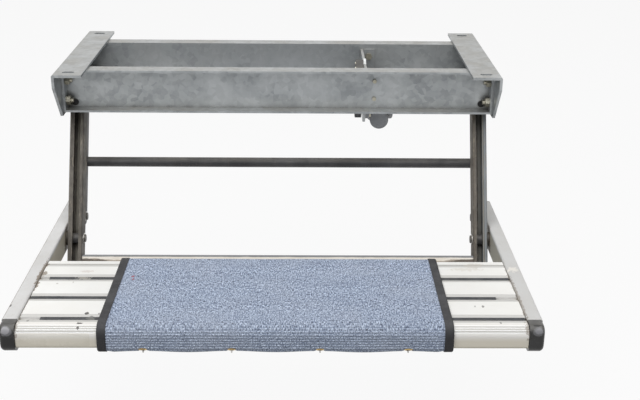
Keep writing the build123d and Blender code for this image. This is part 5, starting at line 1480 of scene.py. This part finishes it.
    def build_binding(self, name: str, side: int) -> bpy.types.Object:
        """Folds a tape round one side of the mat.

        Args:
            name: left or right.
            side: -1 or 1.

        Returns:
            The tape.
        """
        half = self.binding - self.tape_round + self.tape_round * math.pi / 2
        mesh = flat_strip(2 * half, self.length, self.tape_columns, self.tape_rows)
        keep_flat_places(mesh)
        under = add_back(mesh)
        edge_x = self.shift + side * self.outer_half
        for point in mesh.verts:
            across, along = point.co.x, point.co.y
            inward, lift = self.folded(across, self.tape_thickness if point in under else 0.0)
            if across > 0:
                seam = math.exp(-(((half - across - self.seam_inset) / self.seam_half) ** 2))
                ripple = self.ripple * math.sin(along * math.tau / self.ripple_pitch) * (0.4 + seam)
                lift += abs(ripple - self.seam_depth * seam)
            point.co = self.around(edge_x - side * inward, along, max(lift, self.tape_least_lift))
        tape = add_piece(f"binding_tape_{name}", mesh, Finishes.tape, self.body)
        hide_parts(f"mat_binding_{name}")
        return tape

    def build_stitches(self, name: str, side: int) -> bpy.types.Object:
        """Sews a row of stitches along one binding.

        Args:
            name: left or right.
            side: -1 or 1.

        Returns:
            The row of stitches.
        """
        row_x = self.shift + side * (self.outer_half - self.binding + self.seam_inset)
        long = self.stitch_size[1]
        mesh = bmesh.new()
        for i in range(1, int(self.length / self.stitch_spacing)):
            start = bmesh.ops.create_cube(mesh, size=1.0)["verts"]
            edges = dict.fromkeys(edge for point in start for edge in point.link_edges)
            ends = [edge for edge in edges if abs((edge.verts[0].co - edge.verts[1].co).y) < 0.5]
            bmesh.ops.scale(mesh, verts=start, vec=self.stitch_size)
            made = bmesh.ops.bevel(
                mesh, geom=ends, offset=self.stitch_bevel, offset_type="OFFSET",
                affect="EDGES", segments=1, profile=0.5, material=-1,
            )["verts"]
            for point in {*made, *(point for point in start if point.is_valid)}:
                across, along, up = point.co
                lift = self.stitch_lift + up - self.stitch_dip * (along / long) ** 2
                point.co = self.around(row_x + across, i * self.stitch_spacing + along, lift)
        return add_piece(f"binding_stitches_{name}", mesh, Finishes.thread, self.body)

    def build_eyelets(self) -> bpy.types.Object:
        """Spins the rolled brass eyelets and sets them in the felt.

        Returns:
            All eyelets as one piece.
        """
        mesh = bmesh.new()
        for seat in self.seats():
            before = set(mesh.verts)
            points = [mesh.verts.new((radius * MM, 0, up * MM)) for up, radius in self.rim]
            edges = [mesh.edges.new(pair) for pair in zip(points, points[1:] + points[:1])]
            bmesh.ops.spin(
                mesh, geom=[*points, *edges], cent=(0, 0, 0), axis=Z_AXIS, dvec=(0, 0, 0), angle=math.tau,
                steps=self.rim_segments, use_merge=True, use_duplicate=False,
            )
            made = [point for point in mesh.verts if point not in before]
            bmesh.ops.transform(mesh, matrix=seat, verts=made)
        eyelets = add_piece("brass_eyelets", mesh, Finishes.brass, self.body)
        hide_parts("mat_eyelets")
        return eyelets

    def wind_spring(self, x: float) -> BMesh:
        """Winds one spring with a hook at each end from a single wire.

        Args:
            x: The spring's place across the step.

        Returns:
            The closed wire.
        """
        across, along = Vector((1, 0, 0)), Vector((0, 1, 0))
        tilt, half_bend = self.eyelet_tilt, self.spring_mean / 2
        lean = self.eyelet_bore - self.wire_radius
        seats = self.seats()
        seat_front, seat_rear = seats[0].translation, seats[-1].translation
        hook = Vector((x, seat_front.y + lean * math.sin(tilt), seat_front.z - lean * math.cos(tilt)))
        inward = Vector((0, math.cos(tilt), math.sin(tilt)))
        tip = hook + inward * self.hook_tip
        wire = Wire(self.wire_radius, tip, -inward)
        deflection = math.pi - tilt
        wire.run((tip.z - self.spring_z) / math.sin(tilt) - self.hook_bend * math.tan(deflection / 2))
        wire.bend(self.hook_bend, across, deflection, steps=12)
        wire.run(self.spring_front - half_bend - wire.at.y)
        wire.bend(half_bend, -Z_AXIS, math.pi / 2, steps=6)
        lead = self.spring_mean * self.lead_share
        wire.turn(wire.at + Z_AXIS * lead, -along, self.lead_turn, steps=8)
        rings = round(self.spring_turns * self.rings_per_turn)
        middle = Vector((x, wire.at.y, self.spring_z))
        wire.turn(middle, -along, math.tau * self.spring_turns, rings, -self.spring_length)
        outward = (wire.at - Vector((x, wire.at.y, self.spring_z))).normalized()
        wire.turn(wire.at - outward * lead, -along, self.lead_turn, steps=8)
        wire.bend(half_bend, wire.heading.cross(along), math.pi / 2, steps=6)
        wire.run(seat_rear.y - lean - self.hook_bend - wire.at.y)
        wire.bend(self.hook_bend, across, math.pi / 2, steps=8)
        wire.run(seat_rear.z + self.hook_tip - wire.at.z)
        return wire.close()

    def build_springs(self) -> bpy.types.Object:
        """Winds each spring on its own, which is faster, and joins them as one piece.

        Returns:
            All springs.
        """
        mesh = bmesh.new()
        for x in self.eyelet_x:
            spring = self.wind_spring(x)
            data = bpy.data.meshes.new("spring")
            spring.to_mesh(data)
            spring.free()
            mesh.from_mesh(data)
            bpy.data.meshes.remove(data)
        springs = add_piece("tension_springs", mesh, Finishes.spring_steel, self.body)
        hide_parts("mat_springs")
        return springs

    def build(self) -> None:
        """Builds the whole mat."""
        felt = self.build_felt()
        tapes = [self.build_binding("left", -1), self.build_binding("right", 1)]
        rows = [self.build_stitches("left", -1), self.build_stitches("right", 1)]
        eyelets = self.build_eyelets()
        self.build_springs()


@dataclass
class LabelFilm:
    """The bare film at the left of the nose's front."""

    centre_x: float = -280.0 * MM
    half_width: float = 45.5 * MM
    low: float = -270.2 * MM
    high: float = -252.8 * MM
    gap: float = 0.01 * MM
    thickness: float = 0.12 * MM
    corner: float = 2.5 * MM
    slices: int = 12

    def build(self) -> bpy.types.Object:
        """Cuts the film with round corners and lays it on the nose.

        Returns:
            The film.
        """
        mesh = bmesh.new()
        tall = self.high - self.low
        bmesh.ops.create_grid(mesh, x_segments=1, y_segments=1, size=0.5)
        bmesh.ops.scale(mesh, verts=mesh.verts, vec=(2 * self.half_width, tall, 1))
        bmesh.ops.bevel(
            mesh, geom=list(mesh.verts), offset=self.corner,
            affect="VERTICES", segments=6, profile=0.5, material=-1,
        )
        for i in range(1, self.slices):
            cut = (0, tall * (i / self.slices - 0.5), 0)
            geometry = [*mesh.verts, *mesh.edges, *mesh.faces]
            bmesh.ops.bisect_plane(mesh, geom=geometry, plane_co=cut, plane_no=(0, 1, 0))
        outer = add_back(mesh)
        for point in mesh.verts:
            lift = self.thickness if point in outer else self.gap
            point.co = self.on_nose(self.centre_x + point.co.x, (self.low + self.high) / 2 + point.co.y, lift)
        return add_piece("label_film", mesh, Finishes.film, "tread_platform")

    def on_nose(self, x: float, height: float, lift: float) -> Vector:
        """Lays a flat place of the film on the nose's front, and round its bend.

        Args:
            x: Place across the step.
            height: Height in the frame, measured along the film.
            lift: Height over the nose.

        Returns:
            The place in the frame.
        """
        bend = TREAD_TOP - NOSE_ROUND
        if height <= bend:
            return Vector((x, NOSE_FRONT - lift, height))
        angle, reach = (height - bend) / NOSE_ROUND, NOSE_ROUND + lift
        return Vector((x, NOSE_FRONT + NOSE_ROUND - reach * math.cos(angle), bend + reach * math.sin(angle)))


# Sub-assemblies of the CAD frame


@dataclass
class BaseFrame:
    """Brackets and cross channels that bolt to the vehicle floor, with their pins and buffers."""

    brackets: tuple[str, ...] = ("side_bracket_left", "side_bracket_right")
    channels: tuple[str, ...] = ("front_cross_channel", "rear_cross_channel", "motor_plate")
    frame_screws: tuple[str, ...] = ("frame_bolts", "frame_nuts")
    drive_screws: tuple[str, ...] = ("motor_plate_screws", "gearbox_screws", "switch_screws")

    def build(self) -> None:
        """Dresses the frame's nodes."""
        dress(Finishes.galvanised, *self.brackets, *self.channels)
        dress(Finishes.zinc, *self.frame_screws, *self.drive_screws)
        dress(Finishes.bush, "shaft_bushes")
        dress(Finishes.bright, "frame_pins")
        dress(Finishes.spring_steel, "frame_pin_rings")
        dress(Finishes.buffer, "stop_buffers")


@dataclass
class Drive:
    """Gear motor with its gearbox, pinion, cable gland and limit switch."""

    plastics: tuple[str, ...] = ("motor_end_cap", "cable_gland", "limit_switch")
    gears: tuple[str, ...] = ("drive_pinion", "sector_gear")

    def build(self) -> None:
        """Dresses the drive's nodes."""
        dress(Finishes.cast, "gearbox_housing")
        dress(Finishes.motor, "motor_can")
        dress(Finishes.black_plastic, *self.plastics)
        dress(Finishes.gear, *self.gears)
        dress(Finishes.bright, "output_shaft")
        dress(Finishes.plunger, "switch_plunger")
        dress(Finishes.zinc, "set_screws")


@dataclass
class Linkage:
    """Swing arms on their shaft, the crossbar and the rear links."""

    arms: tuple[str, ...] = ("swing_arm_left", "swing_arm_right")
    links: tuple[str, ...] = ("hub_collars", "rear_link_left", "rear_link_right", "rear_tie")
    bushes: tuple[str, ...] = ("front_platform_bushes", "rear_frame_bushes", "rear_platform_bushes")

    def build(self) -> None:
        """Dresses the linkage's nodes."""
        dress(Finishes.arm_steel, *self.arms)
        dress(replace(Finishes.crossbar, marks=self.crossbar_marks()), "crossbar")
        dress(Finishes.zinc, "crossbar_screws", "shaft_washers")
        dress(Finishes.bright, "swing_shaft")
        dress(Finishes.spring_steel, "shaft_rings")
        dress(Finishes.link_steel, *self.links)
        dress(Finishes.bush, *self.bushes)

    def crossbar_marks(self) -> tuple[Mark, ...]:
        """Lays painted grey shade along the crossbar's upper edge, brown along its foot and darker brown over
        its ends.

        Returns:
            The marks, the lowest first.
        """
        low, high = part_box("crossbar")
        middle_y = (low.y + high.y) / 2
        full, deep, end_height, end_z = 10.0, 0.030, 0.0076, high.z - 0.0115
        ends = ((0.100, srgb(124, 106, 86), 0.7, 40.0), (0.050, srgb(54, 43, 34), 0.8, 60.0))
        return (
            # Painted shade: grey along the upper edge.
            Mark((0.0, middle_y, high.z), (full, deep, 0.0022), srgb(104, 108, 114), 0.9, 0.15, 60.0),
            Mark((0.0, middle_y, low.z), (full, deep, 0.0120), srgb(120, 96, 68), 0.8, 0.45, 50.0),
            *(
                Mark((x, middle_y, end_z), (half, deep, end_height), colour, share, 0.2, scale)
                for half, colour, share, scale in ends
                for x in (-0.300, 0.300)
            ),
        )


@dataclass
class TreadPlatform:
    """Side arms, planks, grip strips and caps of the tread."""

    side_arms: tuple[str, ...] = ("side_arm_left", "side_arm_right")
    end_caps: tuple[str, ...] = ("end_cap_left", "end_cap_right")
    planks: tuple[str, ...] = ("plank_rear", "plank_middle", "plank_front")
    grip_strips: tuple[str, ...] = ("grip_strip_rear", "grip_strip_middle", "grip_strip_front")

    def build(self) -> None:
        """Dresses the tread's nodes and lays the film on the nose."""
        dress(Finishes.arm_coat, *self.side_arms)
        dress(Finishes.cap, *self.end_caps)
        dress(Finishes.black_plastic, "arm_plugs")
        dress(Finishes.angle_steel, "support_angles")
        dress(Finishes.pin_steel, "platform_pins")
        dress(Finishes.spring_steel, "platform_pin_rings")
        dress(Finishes.rivet, "angle_rivets")
        dress(Finishes.plank, *self.planks)
        dress(Finishes.nose, "plank_nose")
        dress(Finishes.strip, *self.grip_strips)
        dress(Finishes.zinc, "plank_screws")
        LabelFilm().build()


@dataclass
class Studio:
    """Camera at the photograph's angle, one wide lamp, pale floor and white surroundings."""

    tilt: float = math.radians(21.44)
    yaw: float = math.radians(1.06)
    roll: float = math.radians(-0.60)
    lens: float = 59.78
    sensor: float = 36.0
    place: Axes = (0.0361, -1.6781, 0.4047)
    floor_height: float = -0.50
    floor_half: float = 40.0
    floor_tone: Colour = (0.45, 0.45, 0.45)
    floor_glow: float = 1.06
    floor_glow_share: float = 0.86
    ambient: float = 0.20
    lamp_power: float = 136.0
    lamp_size: float = 4.0
    lamp_place: Axes = (-0.4, -1.5, 2.8)
    lamp_aim: Axes = (0.0, -0.3, -0.2)

    def build(self) -> None:
        """Sets up camera, floor, world and lamp."""
        self.build_camera()
        self.build_floor()
        self.build_world()
        self.build_lamp()

    def build_camera(self) -> None:
        """Places the camera and makes it the scene's."""
        data = bpy.data.cameras.new("camera")
        data.lens = self.lens
        data.sensor_width = self.sensor
        data.clip_start = 0.01
        data.clip_end = 100.0
        cos_t, sin_t = math.cos(self.tilt), math.sin(self.tilt)
        cos_y, sin_y = math.cos(self.yaw), math.sin(self.yaw)
        ahead = Vector((sin_y * cos_t, cos_y * cos_t, -sin_t))
        right = Vector((cos_y, -sin_y, 0))
        above = Vector((sin_y * sin_t, cos_y * sin_t, cos_t))
        turned_right = math.cos(self.roll) * right - math.sin(self.roll) * above
        turned_above = math.sin(self.roll) * right + math.cos(self.roll) * above
        turn = Matrix((turned_right, turned_above, -ahead)).transposed().to_4x4()
        camera = bpy.data.objects.new("camera", data)
        bpy.context.scene.collection.objects.link(camera)
        camera.matrix_world = Matrix.Translation(self.place) @ turn
        bpy.context.scene.camera = camera

    def build_floor(self) -> None:
        """Lays a wide pale floor that keeps the shadow."""
        mesh = bmesh.new()
        bmesh.ops.create_grid(mesh, x_segments=1, y_segments=1, size=self.floor_half)
        bmesh.ops.translate(mesh, verts=mesh.verts, vec=(0, 0, self.floor_height))
        data = bpy.data.meshes.new("floor")
        mesh.to_mesh(data)
        mesh.free()
        made = bpy.data.materials.new("pale_floor")
        made.use_nodes = True
        made.node_tree.nodes.clear()
        graph = Graph(made.node_tree)
        lit = graph.node("ShaderNodeBsdfDiffuse", {"Color": self.floor_tone})
        glow = graph.node("ShaderNodeEmission", {"Color": (1.0, 1.0, 1.0), "Strength": self.floor_glow})
        share = graph.times(graph.seen_rays(), self.floor_glow_share)
        mixed = graph.node("ShaderNodeMixShader", {0: share, 1: lit.outputs[0], 2: glow.outputs[0]})
        graph.node("ShaderNodeOutputMaterial", {"Surface": mixed.outputs[0]})
        data.materials.append(made)
        floor = bpy.data.objects.new("floor", data)
        bpy.context.scene.collection.objects.link(floor)

    def build_world(self) -> None:
        """Lights softly from all sides and shows white to the camera and to gloss."""
        world = bpy.data.worlds.new("studio")
        bpy.context.scene.world = world
        world.use_nodes = True
        world.node_tree.nodes.clear()
        graph = Graph(world.node_tree)
        strength = graph.ramp(graph.seen_rays(), low=0.0, high=1.0, to_low=self.ambient, to_high=1.0)
        sky = graph.node("ShaderNodeBackground", {"Color": (1.0, 1.0, 1.0), "Strength": strength})
        graph.node("ShaderNodeOutputWorld", {"Surface": sky.outputs[0]})

    def build_lamp(self) -> None:
        """Hangs one wide lamp above the step, a little to the front."""
        data = bpy.data.lights.new("sky_lamp", "AREA")
        data.shape = "RECTANGLE"
        data.size, data.size_y = self.lamp_size, self.lamp_size
        data.energy = self.lamp_power
        lamp = bpy.data.objects.new("sky_lamp", data)
        bpy.context.scene.collection.objects.link(lamp)
        lamp.location = self.lamp_place
        lamp.rotation_euler = (Vector(self.lamp_aim) - lamp.location).to_track_quat("-Z", "Y").to_euler()


def main() -> None:
    """Builds the scene in order."""
    logging.basicConfig(level=logging.INFO, format="%(name)s: %(message)s")
    scene = bpy.context.scene
    scene.view_settings.view_transform = "Standard"
    builders: list[Callable[[], None]] = [
        Studio().build, BaseFrame().build, Drive().build, Linkage().build, TreadPlatform().build,
        TreadMat().build,
    ]
    for build in builders:
        build()


if __name__ == "__main__":
    main()
